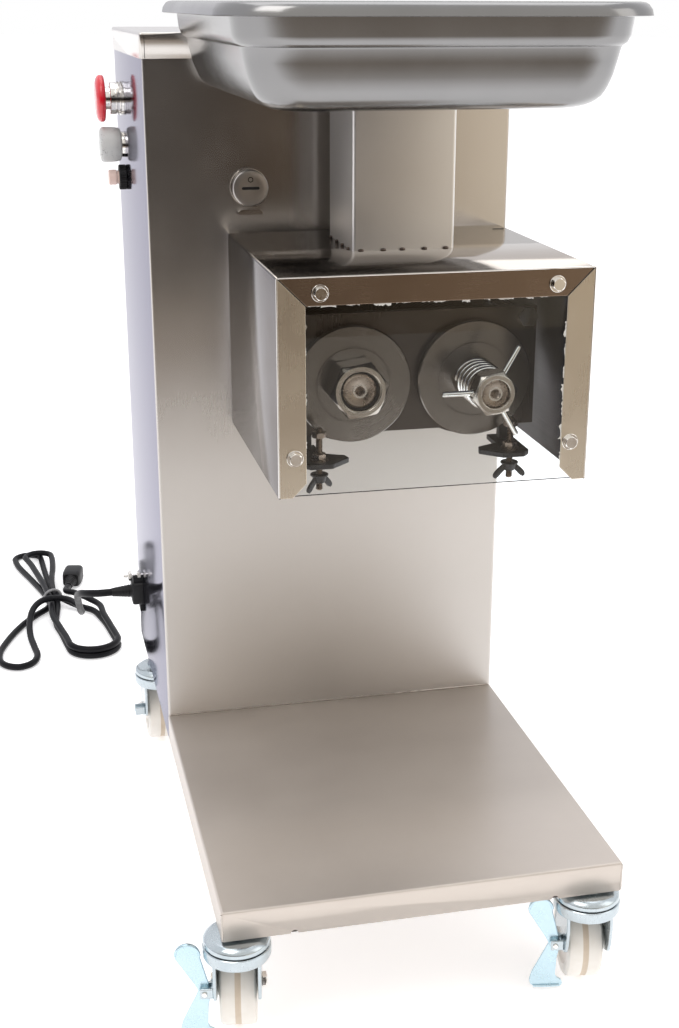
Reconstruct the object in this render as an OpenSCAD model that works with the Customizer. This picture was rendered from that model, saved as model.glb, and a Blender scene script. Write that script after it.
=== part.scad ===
// Floor-standing twin-shaft meat cutter on four casters.
// The frame's origin is on the floor, under the middle of the machine.
// Inside the modules X runs from the cabinet's left side, Y from its front sheet (the operator
// stands at -Y) and Z from the floor; in_frame() moves that onto the frame's origin.

/* [Cabinet] */
// Width of the cabinet and of the platform
cab_w = 356; // [354:1:360]
// Depth of the cabinet
cab_d = 300; // [296:1:310]
// Height of the lid above the floor
cab_top = 821; // [815:1:822]
// Height of the sheet edges above the floor
base_z = 107; // [107:1:107]
// Thickness of the stainless sheet
sheet = 1.5; // [1:0.5:1.5]
// Height of the lid's skirt
lid_skirt = 23; // [18:1:28]

/* [Platform] */
// How far the platform reaches in front of the cabinet
plat_d = 378; // [374:1:382]
// Depth of the folded lip
lip_h = 28; // [26:1:30]

/* [Head] */
// Left side of the head housing
head_x0 = 76; // [74:1:78]
// Right side of the head housing
head_x1 = 350; // [348:1:352]
// Reach of the head housing in front of the cabinet
head_d = 255; // [253:1:260]
// Underside of the head housing
head_z0 = 451; // [445:1:455]
// Top of the head housing
head_z1 = 638; // [636:1:642]
// Width of the flanges round the window
flange_w = 24; // [20:1:28]

/* [Cutting unit] */
// X of the left blade shaft
shaft_x = 158; // [158:1:158]
// Distance between the two shafts
shaft_gap = 112; // [112:1:112]
// Height of both shafts
shaft_z = 528; // [526:1:530]
// Radius of one blade
blade_r = 57; // [56.5:0.1:57]
// Thickness of one blade
blade_t = 1.5; // [1:0.1:1.8]
// Spacing of the blades on one shaft
blade_pitch = 7; // [6.8:0.1:7]
// Number of blades on one shaft
blade_n = 20; // [16:1:20]
// Teeth on each timing gear
gear_teeth = 28; // [28:28:28]

/* [Feed] */
// Width of the square chute
chute_w = 94; // [90:1:96]
// Depth of the square chute
chute_d = 98; // [94:1:100]
// X of the chute's middle
chute_x = 215; // [213:1:217]
// Front face of the chute
chute_y = -132; // [-134:1:-130]
// Width of the pan over its rim
pan_w = 325; // [320:1:330]
// Length of the pan over its rim
pan_l = 418; // [410:1:418]
// Underside of the pan
pan_z = 773.3; // [773.3:0.1:774]
// Height of the pan's rim above its underside
pan_h = 75; // [70:1:78]

/* [Controls] */
// Distance of the controls behind the cabinet's front
ctl_y = 214; // [200:1:230]
// Height of the emergency stop
estop_z = 751; // [748:1:754]
// Height of the start button
start_z = 704; // [702:1:706]
// Height of the reset button
reset_z = 670; // [668:1:672]

/* [Casters] */
// Radius of a wheel
wheel_r = 37.5; // [37:0.1:37.5]
// Width of a wheel
wheel_w = 32; // [30:1:32]
// Distance of the axle behind the swivel
trail = 26; // [24:1:28]

/* [Cord] */
// Diameter of the mains cord
cord_d = 9; // [8:0.5:9]

/* [Hidden] */
$fn = 64;

steel = "#c9c5c0";
satin = "#b9b2aa";
zinc = "#b4bcc2";
black = "#1c1c1e";

// The brake pedal is what reaches furthest left, and the pan's rim what reaches furthest forward
reach_left = 35;
reach_front = 405;
cab_x = (reach_left - cab_w) / 2;
cab_y = (reach_front - cab_d) / 2;

shaft_x2 = shaft_x + shaft_gap;
plat_z = base_z + lip_h;
pan_x0 = 16;
pan_y0 = -reach_front;

// Stations along the cutting unit, from the cabinet towards the operator
rear_plate_y = -12;
front_plate_y = -168;
plate_t = 8;
disc_y = -178;
disc_t = 8;
disc_r = 52.5;
nut_y = -206;
spoke_y = -240;
stud_y = -200;
shaft_r = 15;
journal_r = 12.5;
running = 0.05;

// Gear housing inside the cabinet
box_y0 = sheet;
box_wall = 15;
box_y1 = 76.5;
cover_y1 = box_y1 + box_wall;
gear_m = shaft_gap / gear_teeth;
gear_y0 = 32;
gear_t = 30;

// Belt drive behind the gear housing
motor_z = 255;
motor_r = 70;
motor_y0 = 45;
motor_y1 = 185;
motor_shaft_r = 11;
belt_y = 214;
big_groove_r = 66;
small_groove_r = 18;
rim_over_groove = 12;

// Caster swivels: X, Y, heading of the trail from +Y towards +X, side brake or not
FL = [15, -361, 10, true];
FR = [331, -361, 10, true];
RL = [12, 203, 0, false];
RR = [331, 203, 0, false];
CASTERS = [FL, FR, RL, RR];
race_r = 29;
race_z = 94;
crown_z = 84;
kingpin_r = 5;
axle_r = 6;
pivot_x = -28;
pivot_z = 50;
pedal_y = -6;
pedal_t = 2.5;

// Clamp studs beside the combs
STUDS = [122, 298];
stud_r = 3;

// Cord: gland, then down to the floor, over the bundle and round one loose bight
gland_y = 255;
gland_z = 180;
CORD_ROUTE = [[-35, 255, 180], [-50, 257, 179], [-64, 267, 176], [-72, 287, 169], [-74, 330, 150],
    [-72, 380, 124], [-69, 430, 96], [-66, 480, 70], [-63, 530, 47], [-61, 575, 30], [-64, 612, 24.5],
    [-76, 638, 24], [-96, 650, 23.5], [-115, 643, 23], [-128, 622, 19], [-134, 590, 12], [-134, 555, 6],
    [-130, 520, 4.5], [-127, 489, 4.5], [-134, 466, 4.5], [-151, 456, 4.5], [-168, 464, 4.5],
    [-177, 483, 4.5], [-176, 512, 4.5], [-167, 545, 4.5], [-154, 580, 4.5], [-139, 611, 4.5],
    [-122, 638, 4.5], [-105, 662, 4.5]];
cord_sides = 8;

// Places one part in the frame
module in_frame() translate([cab_x, cab_y, 0]) children();

// Solid and hollow rods along Y and along X
module rod_y(r, y0, y1, x, z) translate([x, y0, z]) rotate([-90, 0, 0]) cylinder(r = r, h = y1 - y0);
module rod_x(r, x0, x1, y, z) translate([x0, y, z]) rotate([0, 90, 0]) cylinder(r = r, h = x1 - x0);
module tube_y(r, bore, y0, y1, x, z) {
    difference() {
        rod_y(r, y0, y1, x, z);
        rod_y(bore, y0 - 1, y1 + 1, x, z);
    }
}
module box(x, y, z) translate([x[0], y[0], z[0]]) cube([x[1] - x[0], y[1] - y[0], z[1] - z[0]]);

// A hexagon along Y, across flats af
module hex_y(af, y0, y1, x, z, turn = 0) {
    translate([x, y0, z]) rotate([-90, 0, 0]) rotate([0, 0, turn])
        cylinder(r = af / 2 / cos(30), h = y1 - y0, $fn = 6);
}

// ---------------------------------------------------------------- sheet metal

// Folded shell: front, two sides and floor, open behind and on top
module cabinet_shell() color(steel) in_frame() {
    top = cab_top - lid_skirt;
    difference() {
        box([0, cab_w], [0, cab_d - sheet], [base_z, top]);
        box([sheet, cab_w - sheet], [sheet, cab_d], [base_z + sheet, top + 1]);
        // Shaft openings, latch bolt and button holes
        for (x = [shaft_x, shaft_x2]) rod_y(27, -1, 3, x, shaft_z);
        rod_y(5, -1, 3, 97, 681);
        for (h = [[estop_z, 11], [start_z, 11], [reset_z, 6]]) rod_x(h[1], -1, 3, ctl_y, h[0]);
        rod_x(5, -1, 3, gland_y, gland_z);
        for (c = [RL, RR]) translate([c[0], c[1], base_z - 1]) cylinder(r = 6, h = 4);
    }
    // Saddle strap under the latch knob
    box([85, 109], [-9, 0], [656, 658.5]);
    // Return flanges that the rear panel is screwed to
    for (x = [sheet, cab_w - sheet - 15])
        box([x, x + 15], [cab_d - 2 * sheet, cab_d - sheet], [base_z + sheet, top]);
}

// Flat back with two banks of louvre hoods
module rear_panel() color(steel) in_frame() {
    difference() {
        box([0, cab_w], [cab_d - sheet, cab_d], [base_z, cab_top - lid_skirt]);
        for (x = [90, 206], k = [0:9]) box([x, x + 60], [cab_d - 3, cab_d + 1], [190 + 18 * k, 194 + 18 * k]);
    }
    for (x = [90, 206], k = [0:9]) louvre(x, 194 + 18 * k);
}
module louvre(x, z) {
    translate([x, cab_d, z]) rotate([90, 0, 90])
        linear_extrude(60) polygon([[0, 0], [4, -5], [5, -4], [0, 2]]);
}

// Lid with a skirt that stands just proud of the shell
module lid() color(steel) in_frame() {
    z0 = cab_top - lid_skirt;
    difference() {
        box([-sheet, cab_w + sheet], [-sheet, cab_d + sheet], [z0, cab_top]);
        box([0, cab_w], [0, cab_d], [z0 - 1, cab_top - sheet]);
    }
}

// Angle posts and rails that stiffen the shell
module inner_frame() color("#8d8a86") in_frame() {
    leg = 15;
    t = 3;
    z1 = cab_top - lid_skirt;
    for (px = [0, 1], py = [0, 1]) {
        x = px ? cab_w - sheet : sheet;
        y = py ? cab_d - 2 * sheet : sheet;
        translate([x, y, base_z + sheet]) mirror([px, 0, 0]) mirror([0, py, 0])
            linear_extrude(z1 - base_z - sheet)
                polygon([[0, 0], [leg, 0], [leg, t], [t, t], [t, leg], [0, leg]]);
    }
    for (x = [sheet, cab_w - sheet - t])
        box([x, x + t], [sheet + leg, cab_d - 2 * sheet - leg], [z1 - 20, z1 - 5]);
}

// Folded tray that carries the catch tub, open underneath
module platform() color(satin) in_frame() {
    difference() {
        box([0, cab_w], [-plat_d, 0], [base_z, plat_z]);
        box([sheet, cab_w - sheet], [sheet - plat_d, 1], [base_z - 1, plat_z - sheet]);
        // Drain notches in the front lip
        for (x = [62, 294]) translate([x, 1 - plat_d, base_z]) rotate([90, 0, 0]) cylinder(r = 3, h = 4);
    }
}

// Pads that the swivel stems are bolted through
module caster_pads() color("#8d8a86") in_frame() {
    for (c = [FL, FR]) difference() {
        x0 = c[0] < cab_w / 2 ? sheet : cab_w - sheet - 52;
        box([x0, x0 + 52], [sheet - plat_d, -330], [base_z, base_z + 5]);
        translate([c[0], c[1], base_z - 1]) cylinder(r = 6, h = 8);
    }
    for (c = [RL, RR]) difference() {
        x0 = c[0] < cab_w / 2 ? sheet : cab_w - sheet - 52;
        box([x0, x0 + 52], [c[1] - 26, c[1] + 26], [base_z + sheet, base_z + sheet + 5]);
        translate([c[0], c[1], base_z]) cylinder(r = 6, h = 8);
    }
}

// ---------------------------------------------------------------- casters

// Puts a caster part at its swivel, turned to its heading
module at_caster(c) in_frame() translate([c[0], c[1], 0]) rotate([0, 0, -c[2]]) children();

// Fixed upper race, kingpin, threaded stem and nut
module caster_tops() color(zinc) for (c = CASTERS) at_caster(c) {
    pad_top = c[3] ? base_z + 5 : base_z + sheet + 5;
    race_top = 104;
    rotate_extrude() polygon([[0, race_z + 0.4], [race_r - 0.5, race_z + 0.4], [race_r - 0.5, 100],
        [25, race_top], [14, race_top], [14, base_z], [6, base_z], [6, pad_top + 12], [0, pad_top + 12]]);
    translate([0, 0, crown_z - 6]) cylinder(r = kingpin_r, h = race_z - crown_z + 7);
    translate([0, 0, crown_z - 6]) cylinder(r = 8, h = 5.6);
}

// Swivel fork with its axle bolt; braked forks also hold the pedal's pin
module fork(c) color(zinc) at_caster(c) {
    inner = wheel_w / 2 + 1.5;
    outer = inner + 3;
    difference() {
        union() {
            rotate_extrude() polygon([[0, crown_z], [0, 88], [17, 88], [20, race_z], [race_r + 0.5, race_z],
                [race_r + 0.5, 85], [27, 82], [21, 82], [17, crown_z]]);
            box([-outer, outer], [-20, 28], [crown_z, crown_z + 3]);
            for (s = [-1, 1]) translate([s * (inner + outer) / 2 - 1.5, 0, 0]) cheek();
        }
        translate([0, 0, crown_z - 5]) cylinder(r = kingpin_r + running, h = 20);
    }
    rod_x(axle_r, -outer, outer, trail, wheel_r);
    for (s = [-1, 1]) rod_x(8, s * (outer + 2) - 2, s * (outer + 2) + 2, trail, wheel_r);
    if (c[3]) {
        for (y = [pedal_y - 5, pedal_y + pedal_t + 2.5])
            box([pivot_x - 4, -outer], [y, y + 2.5], [pivot_z - 5, pivot_z + 5]);
        rod_y(2.5, pedal_y - 5, pedal_y + pedal_t + 5, pivot_x, pivot_z);
    }
}
module cheek() {
    rotate([90, 0, 90]) linear_extrude(3) polygon([[-20, crown_z + 2], [28, crown_z + 2], [trail + 11, wheel_r + 3],
        [trail + 9, wheel_r - 7], [trail, wheel_r - 11], [trail - 9, wheel_r - 7], [-12, 44], [-20, 60]]);
}

// Cast nylon wheel with a crowned tread
module wheel(c) color("#e6dfd3") at_caster(c) {
    h = wheel_w / 2;
    e = 4;
    bore = axle_r + running;
    round_edge = [for (a = [0:15:90]) [wheel_r - e + e * cos(a), h - e + e * sin(a)]];
    upper = concat([[wheel_r, 0]], round_edge, [[27, h], [25, h - 3], [15, h - 3], [13, h], [bore, h]]);
    lower = [for (i = [len(upper) - 1:-1:1]) [upper[i][0], -upper[i][1]]];
    translate([0, trail, wheel_r]) rotate([0, 90, 0]) rotate_extrude() polygon(concat(upper, lower));
}

// Stamped rocker pedal: one pad up, one pad down
module brake(c) color("#bcd6e4") at_caster(c) {
    difference() {
        union() {
            translate([0, pedal_y + pedal_t, 0]) rotate([90, 0, 0]) linear_extrude(pedal_t) {
                polygon([[-36, 52], [-24, 52], [-31, 84], [-53, 84]]);
                translate([-42, 86]) circle(r = 11);
                polygon([[-34, 50], [-24, 50], [-27, 12], [-21, 12], [-19, 8], [-20, 3], [-44, 3],
                    [-50, 10], [-48, 20]]);
                translate([pivot_x, pivot_z]) circle(r = 6);
            }
            rod_y(5, pedal_y - 2, pedal_y + pedal_t + 2, pivot_x, pivot_z);
        }
        rod_y(2.5 + running, pedal_y - 9, pedal_y + 9, pivot_x, pivot_z);
    }
}

module fork_fl() fork(FL);
module fork_fr() fork(FR);
module fork_rl() fork(RL);
module fork_rr() fork(RR);
module wheel_fl() wheel(FL);
module wheel_fr() wheel(FR);
module wheel_rl() wheel(RL);
module wheel_rr() wheel(RR);
module brake_fl() brake(FL);
module brake_fr() brake(FR);

// ---------------------------------------------------------------- head

// Hood over the blades: top, two sides and mitred window flanges, open below
module head_housing() color(steel) in_frame() {
    difference() {
        box([head_x0, head_x1], [-head_d, 0], [head_z0, head_z1]);
        box([head_x0 + sheet, head_x1 - sheet], [sheet - head_d, 1], [head_z0 - 1, head_z1 - sheet]);
        window();
        box([chute_x - chute_w / 2, chute_x + chute_w / 2], [chute_y, chute_y + chute_d],
            [head_z1 - 3, head_z1 + 1]);
        box([333, 345], [-27, -24], [head_z1 - 3, head_z1 + 1]);
        for (b = GUARD_BOLTS) rod_y(3.2, -head_d - 1, 5 - head_d, b[0], b[1]);
    }
}
// Window between the flanges, open at the bottom, with chamfered ends on both legs
module window() {
    chamfer = 12;
    x0 = head_x0 + flange_w;
    x1 = head_x1 - flange_w;
    translate([0, 3 - head_d, 0]) rotate([90, 0, 0]) linear_extrude(6) polygon([
        [x0, head_z1 - flange_w], [x0, head_z0 + chamfer], [x0 - chamfer, head_z0], [x0 - chamfer, head_z0 - 1],
        [x1 + chamfer, head_z0 - 1], [x1 + chamfer, head_z0], [x1, head_z0 + chamfer], [x1, head_z1 - flange_w]]);
}
GUARD_BOLTS = [[112, 624.5], [316, 624.5], [90, 486], [334, 486]];

// Clear guard behind the flanges
module head_guard() color("#dfe8ec", 0.35) in_frame() difference() {
    y0 = sheet - head_d;
    box([head_x0 + 3, head_x1 - 3], [y0, y0 + 4], [head_z0 + 1, head_z1 - 3]);
    for (b = GUARD_BOLTS) rod_y(3.2, y0 - 1, y0 + 5, b[0], b[1]);
}

// Hex bolts with washers and nuts
module guard_bolts() color("#d8d6d2") in_frame() for (b = GUARD_BOLTS) {
    rod_y(6.5, -head_d - 1.2, -head_d, b[0], b[1]);
    hex_y(10, -head_d - 5.2, -head_d - 1.2, b[0], b[1], 12);
    rod_y(3, -head_d - 2, 13 - head_d, b[0], b[1]);
    hex_y(10, 5.6 - head_d, 10.6 - head_d, b[0], b[1], 12);
}

// Square chute from the pan down to the blades
module feed_chute() color(satin) in_frame() {
    t = 1.5;
    x0 = chute_x - chute_w / 2;
    x1 = chute_x + chute_w / 2;
    y1 = chute_y + chute_d;
    difference() {
        box([x0, x1], [chute_y, y1], [596, pan_z - 0.3]);
        box([x0 + t, x1 - t], [chute_y + t, y1 - t], [595, pan_z + 1]);
    }
    // Plug welds along the foot
    for (k = [0:4]) translate([x0 + 7 + k * 20, chute_y - 0.6, head_z1 + 1.2]) sphere(r = 1.2, $fn = 16);
}

// Pressed pan: rings of a rounded rectangle from the spigot out, up the wall, over the rim and back
function ring(cx, cy, w, l, r, z) = [for (q = [0:3], a = [0:15:90])
    let (sx = (q == 0 || q == 3) ? 1 : -1, sy = q < 2 ? 1 : -1, t = a + 90 * q)
    [cx + sx * (w / 2 - r) + r * cos(t), cy + sy * (l / 2 - r) + r * sin(t), z]];
function pan_ring(inset, r, z) = ring(pan_x0 + pan_w / 2, pan_y0 + pan_l / 2,
    pan_w - 2 * inset, pan_l - 2 * inset, r, z);
// The outlet stops short of the curve where the pan's floor turns up
hole_y0 = chute_y + 2;
hole_y1 = min(chute_y + chute_d - 10, pan_y0 + pan_l - 57);
function hole_ring(inset, z) = ring(chute_x, (hole_y0 + hole_y1) / 2,
    chute_w - 4 - 2 * inset, hole_y1 - hole_y0 - 2 * inset, 2, z);
module feed_pan() color(steel) in_frame() {
    t = 1.2;
    rim = pan_z + pan_h;
    rings = [hole_ring(0, pan_z),
        pan_ring(54, 24, pan_z), pan_ring(46, 26, pan_z + 1), pan_ring(38, 30, pan_z + 4), pan_ring(32, 33, pan_z + 9),
        pan_ring(28, 36, pan_z + 16), pan_ring(25, 38, pan_z + 24), pan_ring(20, 42, pan_z + 44),
        pan_ring(16, 45, pan_z + 47), pan_ring(14, 47, pan_z + 52), pan_ring(12, 48, rim - 6),
        pan_ring(9, 50, rim - 2), pan_ring(5, 54, rim - 3), pan_ring(1.2, 56, rim - 10),
        pan_ring(0, 57, rim - 9.5), pan_ring(4, 55, rim - 1.5), pan_ring(9, 51, rim),
        pan_ring(13, 48, rim - 2), pan_ring(12 + t, 47, rim - 7), pan_ring(14 + t, 46, pan_z + 52.5),
        pan_ring(16 + t, 44, pan_z + 48), pan_ring(20 + t, 41, pan_z + 45), pan_ring(25 + t, 37, pan_z + 24.5),
        pan_ring(28 + t, 35, pan_z + 16.5), pan_ring(32 + t, 32, pan_z + 9.8), pan_ring(38 + t, 29, pan_z + 5),
        pan_ring(46 + t, 25, pan_z + 2.2), pan_ring(54 + t, 23, pan_z + t), hole_ring(0, pan_z + t)];
    closed_loft(rings);
}

// Square spigot under the pan's outlet, which locates the pan in the chute
module pan_spigot() color(steel) in_frame() {
    t = 1.2;
    gap = 0.05;
    low = pan_z - 40;
    high = pan_z + t;
    closed_loft([hole_ring(gap, low), hole_ring(gap, high), hole_ring(t, high), hole_ring(t, low)]);
}

// Joins a list of equal rings into one solid whose last ring meets the first
module closed_loft(rings) {
    n = len(rings[0]);
    m = len(rings);
    points = [for (r = rings) each r];
    faces = [for (k = [0:m - 1], i = [0:n - 1]) let (a = k * n, b = ((k + 1) % m) * n, j = (i + 1) % n)
        each [[a + i, b + j, a + j], [a + i, b + i, b + j]]];
    polyhedron(points, faces);
}

// ---------------------------------------------------------------- cutting unit

// Stepped shaft with a centre drilling in its front end
module blade_shaft(x, front, front_r, rear) {
    difference() {
        union() {
            rod_y(journal_r, rear_plate_y + 9, rear, x, shaft_z);
            rod_y(shaft_r, disc_y, rear_plate_y + 9, x, shaft_z);
            rod_y(front_r, front, disc_y + 1, x, shaft_z);
        }
        translate([x, front - 0.01, shaft_z]) rotate([-90, 0, 0]) cylinder(r1 = 4, r2 = 1, h = 5);
    }
}
module shaft_left() color("#a8a09a") in_frame() blade_shaft(shaft_x, nut_y + 3, shaft_r, 232);
module shaft_right() color("#a8a09a") in_frame() blade_shaft(shaft_x2, spoke_y + 2, journal_r, cover_y1 + 3);

// Blades and the spacers between them; the right stack sits half a pitch behind the left
module blade_stack(x, y0) for (k = [0:blade_n - 1]) {
    y = y0 + k * blade_pitch;
    tube_y(blade_r, shaft_r, y, y + blade_t, x, shaft_z);
    if (k < blade_n - 1)
        tube_y(22, shaft_r, y + blade_t + 0.05, y + blade_pitch - 0.05, x, shaft_z);
}
module blades_left() color("#c4c4c6") in_frame() blade_stack(shaft_x, -157);
module blades_right() color("#c4c4c6") in_frame() blade_stack(shaft_x2, -157 + blade_pitch / 2);

// Pressure discs in front of the front plate
module pressure_disc(x) color("#a5a19c") in_frame() {
    tube_y(disc_r, shaft_r, disc_y, disc_y + disc_t, x, shaft_z);
}
module disc_left() pressure_disc(shaft_x);
module disc_right() pressure_disc(shaft_x2);

// Large hexagon nut, counterbored round the shaft's end
module lock_nut() color("#cfc9c2") in_frame() difference() {
    union() {
        hex_y(47, nut_y + 1.5, disc_y - 0.1, shaft_x, shaft_z, 8);
        rod_y(23, nut_y, nut_y + 1.6, shaft_x, shaft_z);
    }
    rod_y(shaft_r, nut_y - 1, disc_y + 1, shaft_x, shaft_z);
    rod_y(17.5, nut_y - 1, nut_y + 6, shaft_x, shaft_z);
}

// Compression spring behind the spoked nut
module tension_spring() color("#d6d4d0") in_frame() {
    turns = 4.5;
    coil_r = 18;
    wire = 2;
    y0 = spoke_y + 21.5;
    y1 = disc_y - 2.5;
    path = [for (k = [0:90]) let (a = k * turns * 4)
        [shaft_x2 + coil_r * cos(a), y0 + (y1 - y0) * k / 90, shaft_z + coil_r * sin(a)]];
    sweep(path, wire, 8);
}

// Hexagon nut with three radial handles
module spoke_nut() color("#cfcac5") in_frame() difference() {
    union() {
        hex_y(36, spoke_y + 1, spoke_y + 19, shaft_x2, shaft_z, 10);
        rod_y(17.5, spoke_y, spoke_y + 1.1, shaft_x2, shaft_z);
        for (a = [60, 180, -60]) translate([shaft_x2, spoke_y + 10, shaft_z]) rotate([0, -a, 0])
            translate([14, 0, 0]) rotate([0, 90, 0]) cylinder(r = 2.5, h = 32);
    }
    rod_y(journal_r + running, spoke_y - 1, spoke_y + 21, shaft_x2, shaft_z);
}

// Front and rear plates of the blade cassette
module end_plates() color("#a39b93") in_frame() for (y = [front_plate_y, rear_plate_y]) difference() {
    box([98, 330], [y, y + plate_t], [481, 590]);
    for (x = [shaft_x, shaft_x2]) rod_y(20, y - 1, y + plate_t + 1, x, shaft_z);
    for (x = [108, 320]) rod_y(5, y - 1, y + plate_t + 1, x, 581);
}

// Rods that hold the cassette's plates on the cabinet
module tie_rods() color("#c9c5c0") in_frame() for (x = [108, 320]) {
    rod_y(5, front_plate_y - 3, 0, x, 581);
    hex_y(16, front_plate_y - 8, front_plate_y, x, 581);
}

// Scraper combs: a bar beside each stack and one finger in every gap
module combs() color("#b7b2ac") in_frame() {
    y0 = front_plate_y + plate_t;
    y1 = rear_plate_y;
    for (s = [[shaft_x, 225, -157], [shaft_x2, -45, -157 + blade_pitch / 2]]) {
        rod_y(6, y0, y1, s[0] + 64 * cos(s[1]), shaft_z + 64 * sin(s[1]));
        for (k = [0:blade_n - 2])
            translate([s[0], s[2] + k * blade_pitch + blade_t + 1, shaft_z]) rotate([0, -s[1], 0])
                translate([24, 0, -5]) cube([37, blade_pitch - blade_t - 2, 10]);
    }
}

// Black brackets with vertical studs under the front plate
module comb_clamps() color(black) in_frame() for (x = STUDS) {
    m = x == STUDS[0] ? 0 : 1;
    translate([x, 0, 0]) mirror([m, 0, 0]) {
        difference() {
            translate([0, 0, 462]) linear_extrude(5)
                polygon([[-16, -150], [-16, -206], [-10, -213], [10, -213], [28, -196], [26, -188],
                    [6, -178], [6, -150]]);
            translate([0, stud_y, 455]) cylinder(r = stud_r, h = 20);
        }
        box([-14, 0], [front_plate_y, front_plate_y + plate_t], [467, 481]);
        translate([0, stud_y, 440]) cylinder(r = stud_r, h = 57);
        translate([0, stud_y, 467]) cylinder(r = 8, h = 1.5);
        translate([0, stud_y, 468.5]) cylinder(r = 6.5, h = 5, $fn = 6);
        translate([0, stud_y, 488]) cylinder(r = 6.5, h = 5, $fn = 6);
    }
}

// Wing nut under a clamp bracket
module wing_nut(x, turn) color(black) in_frame()
    translate([x, stud_y, 447]) rotate([0, 0, turn]) difference() {
    union() {
        cylinder(r = 6, h = 8);
        cylinder(r = 8, h = 2);
        for (s = [0, 180]) rotate([0, 0, s]) translate([4, -1.5, 3]) rotate([0, 40, 0]) cube([13, 3, 8]);
    }
    translate([0, 0, -10]) cylinder(r = stud_r + running, h = 30);
}
module wing_nut_left() wing_nut(STUDS[0], 35);
module wing_nut_right() wing_nut(STUDS[1], 5);

// ---------------------------------------------------------------- gearbox and drive

// Cast housing bolted behind the front sheet
module gear_housing() color("#9aa0a3") in_frame() {
    difference() {
        box([shaft_x - 68, shaft_x2 + 68], [box_y0, box_y1], [shaft_z - 68, shaft_z + 68]);
        for (x = [shaft_x, shaft_x2]) {
            rod_y(61, box_y0 + box_wall, box_y1 + 1, x, shaft_z);
            rod_y(26, box_y0 - 1, box_y1, x, shaft_z);
        }
    }
}
module gearbox_cover() color("#9aa0a3") in_frame() difference() {
    box([shaft_x - 68, shaft_x2 + 68], [box_y1, cover_y1], [shaft_z - 68, shaft_z + 68]);
    for (x = [shaft_x, shaft_x2]) rod_y(26, box_y1 - 1, cover_y1 + 1, x, shaft_z);
}
module shaft_bearings() color("#c4c4c6") in_frame() for (x = [shaft_x, shaft_x2], y = [box_y0, box_y1]) {
    tube_y(26, journal_r + running, y, y + box_wall, x, shaft_z);
}

// Spur gear with involute flanks; phase turns it so that the pair meshes
function involute(a) = tan(a) * 180 / PI - a;
module spur_gear(x, phase) {
    pitch_r = gear_m * gear_teeth / 2;
    base_r = pitch_r * cos(20);
    tip_r = pitch_r + 0.9 * gear_m;
    root_r = pitch_r - 1.15 * gear_m;
    half = 90 / gear_teeth - 0.2;
    flank = [for (k = [0:4]) base_r + 0.1 + (tip_r - base_r - 0.1) * k / 4];
    function half_angle(r) = half + involute(20) - involute(acos(base_r / r));
    pts = [for (i = [0:gear_teeth - 1]) let (c = i * 360 / gear_teeth + phase) each concat(
        [root_r * [cos(c - half_angle(flank[0])), sin(c - half_angle(flank[0]))]],
        [for (r = flank) r * [cos(c - half_angle(r)), sin(c - half_angle(r))]],
        [for (k = [4:-1:0]) let (r = flank[k]) r * [cos(c + half_angle(r)), sin(c + half_angle(r))]],
        [root_r * [cos(c + half_angle(flank[0])), sin(c + half_angle(flank[0]))]])];
    translate([x, gear_y0 + gear_t, shaft_z]) rotate([90, 0, 0]) linear_extrude(gear_t) difference() {
        polygon(pts);
        circle(r = journal_r);
    }
}
module gear_left() color("#8f8f92") in_frame() spur_gear(shaft_x, 0);
module gear_right() color("#8f8f92") in_frame() spur_gear(shaft_x2, 180 / gear_teeth);

// Motor with cooling fins, feet and a terminal box
module motor() color("#5d6a72") in_frame() difference() {
    union() {
        rod_y(motor_r - 6, motor_y0, motor_y1, shaft_x, motor_z);
        for (y = [motor_y0:10:motor_y1 - 5]) rod_y(motor_r, y, y + 4, shaft_x, motor_z);
        box([98, 218], [60, 170], [170, 200]);
        box([130, 186], [80, 140], [310, 350]);
    }
    rod_y(motor_shaft_r + running, motor_y0 + 10, motor_y1 + 1, shaft_x, motor_z);
}

// Bench that the motor's feet are bolted to
module motor_mount() color("#8d8a86") in_frame() {
    box([70, 286], [50, 180], [164, 170]);
    for (x = [70, 280]) box([x, x + 6], [50, 180], [base_z + sheet, 164]);
}

// Grooved pulleys: rim radius, groove radius, bore
module pulley(groove_r, bore, z) {
    rim = groove_r + rim_over_groove;
    translate([shaft_x, belt_y, z]) rotate([-90, 0, 0]) rotate_extrude() polygon([[bore, -11], [rim, -11], [rim, -6],
        [groove_r, -6], [groove_r, 6], [rim, 6], [rim, 11], [bore, 11]]);
}
module driven_pulley() color("#7d8084") in_frame() pulley(big_groove_r, journal_r, shaft_z);
module motor_pulley() color("#7d8084") in_frame() {
    pulley(small_groove_r, motor_shaft_r, motor_z);
    rod_y(motor_shaft_r, motor_y0 + 15, belt_y + 14, shaft_x, motor_z);
}

// Belt round both pulleys
module drive_belt() color("#222222") in_frame() {
    translate([shaft_x, belt_y + 5.5, 0]) rotate([90, 0, 0]) linear_extrude(11) difference() {
        belt_loop(10);
        belt_loop(0.4);
    }
}
module belt_loop(over) hull() {
    translate([0, shaft_z]) circle(r = big_groove_r + over);
    translate([0, motor_z]) circle(r = small_groove_r + over);
}

// Contactor on the right-hand sheet
module contactor() color("#e0ddd6") in_frame() {
    box([cab_w - sheet - 55, cab_w - sheet], [110, 160], [640, 715]);
    box([cab_w - sheet - 62, cab_w - sheet - 55], [118, 152], [655, 700]);
}

// ---------------------------------------------------------------- controls

// Barrel and contact block of the emergency stop
module estop_body() color("#c9c9c9") in_frame() difference() {
    union() {
        rod_x(16.5, -14, 0, ctl_y, estop_z);
        rod_x(11, 0, sheet + 6, ctl_y, estop_z);
        box([sheet + 6, 50], [ctl_y - 15, ctl_y + 15], [estop_z - 20, estop_z + 20]);
    }
    rod_x(6 + running, -15, 20, ctl_y, estop_z);
}
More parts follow.
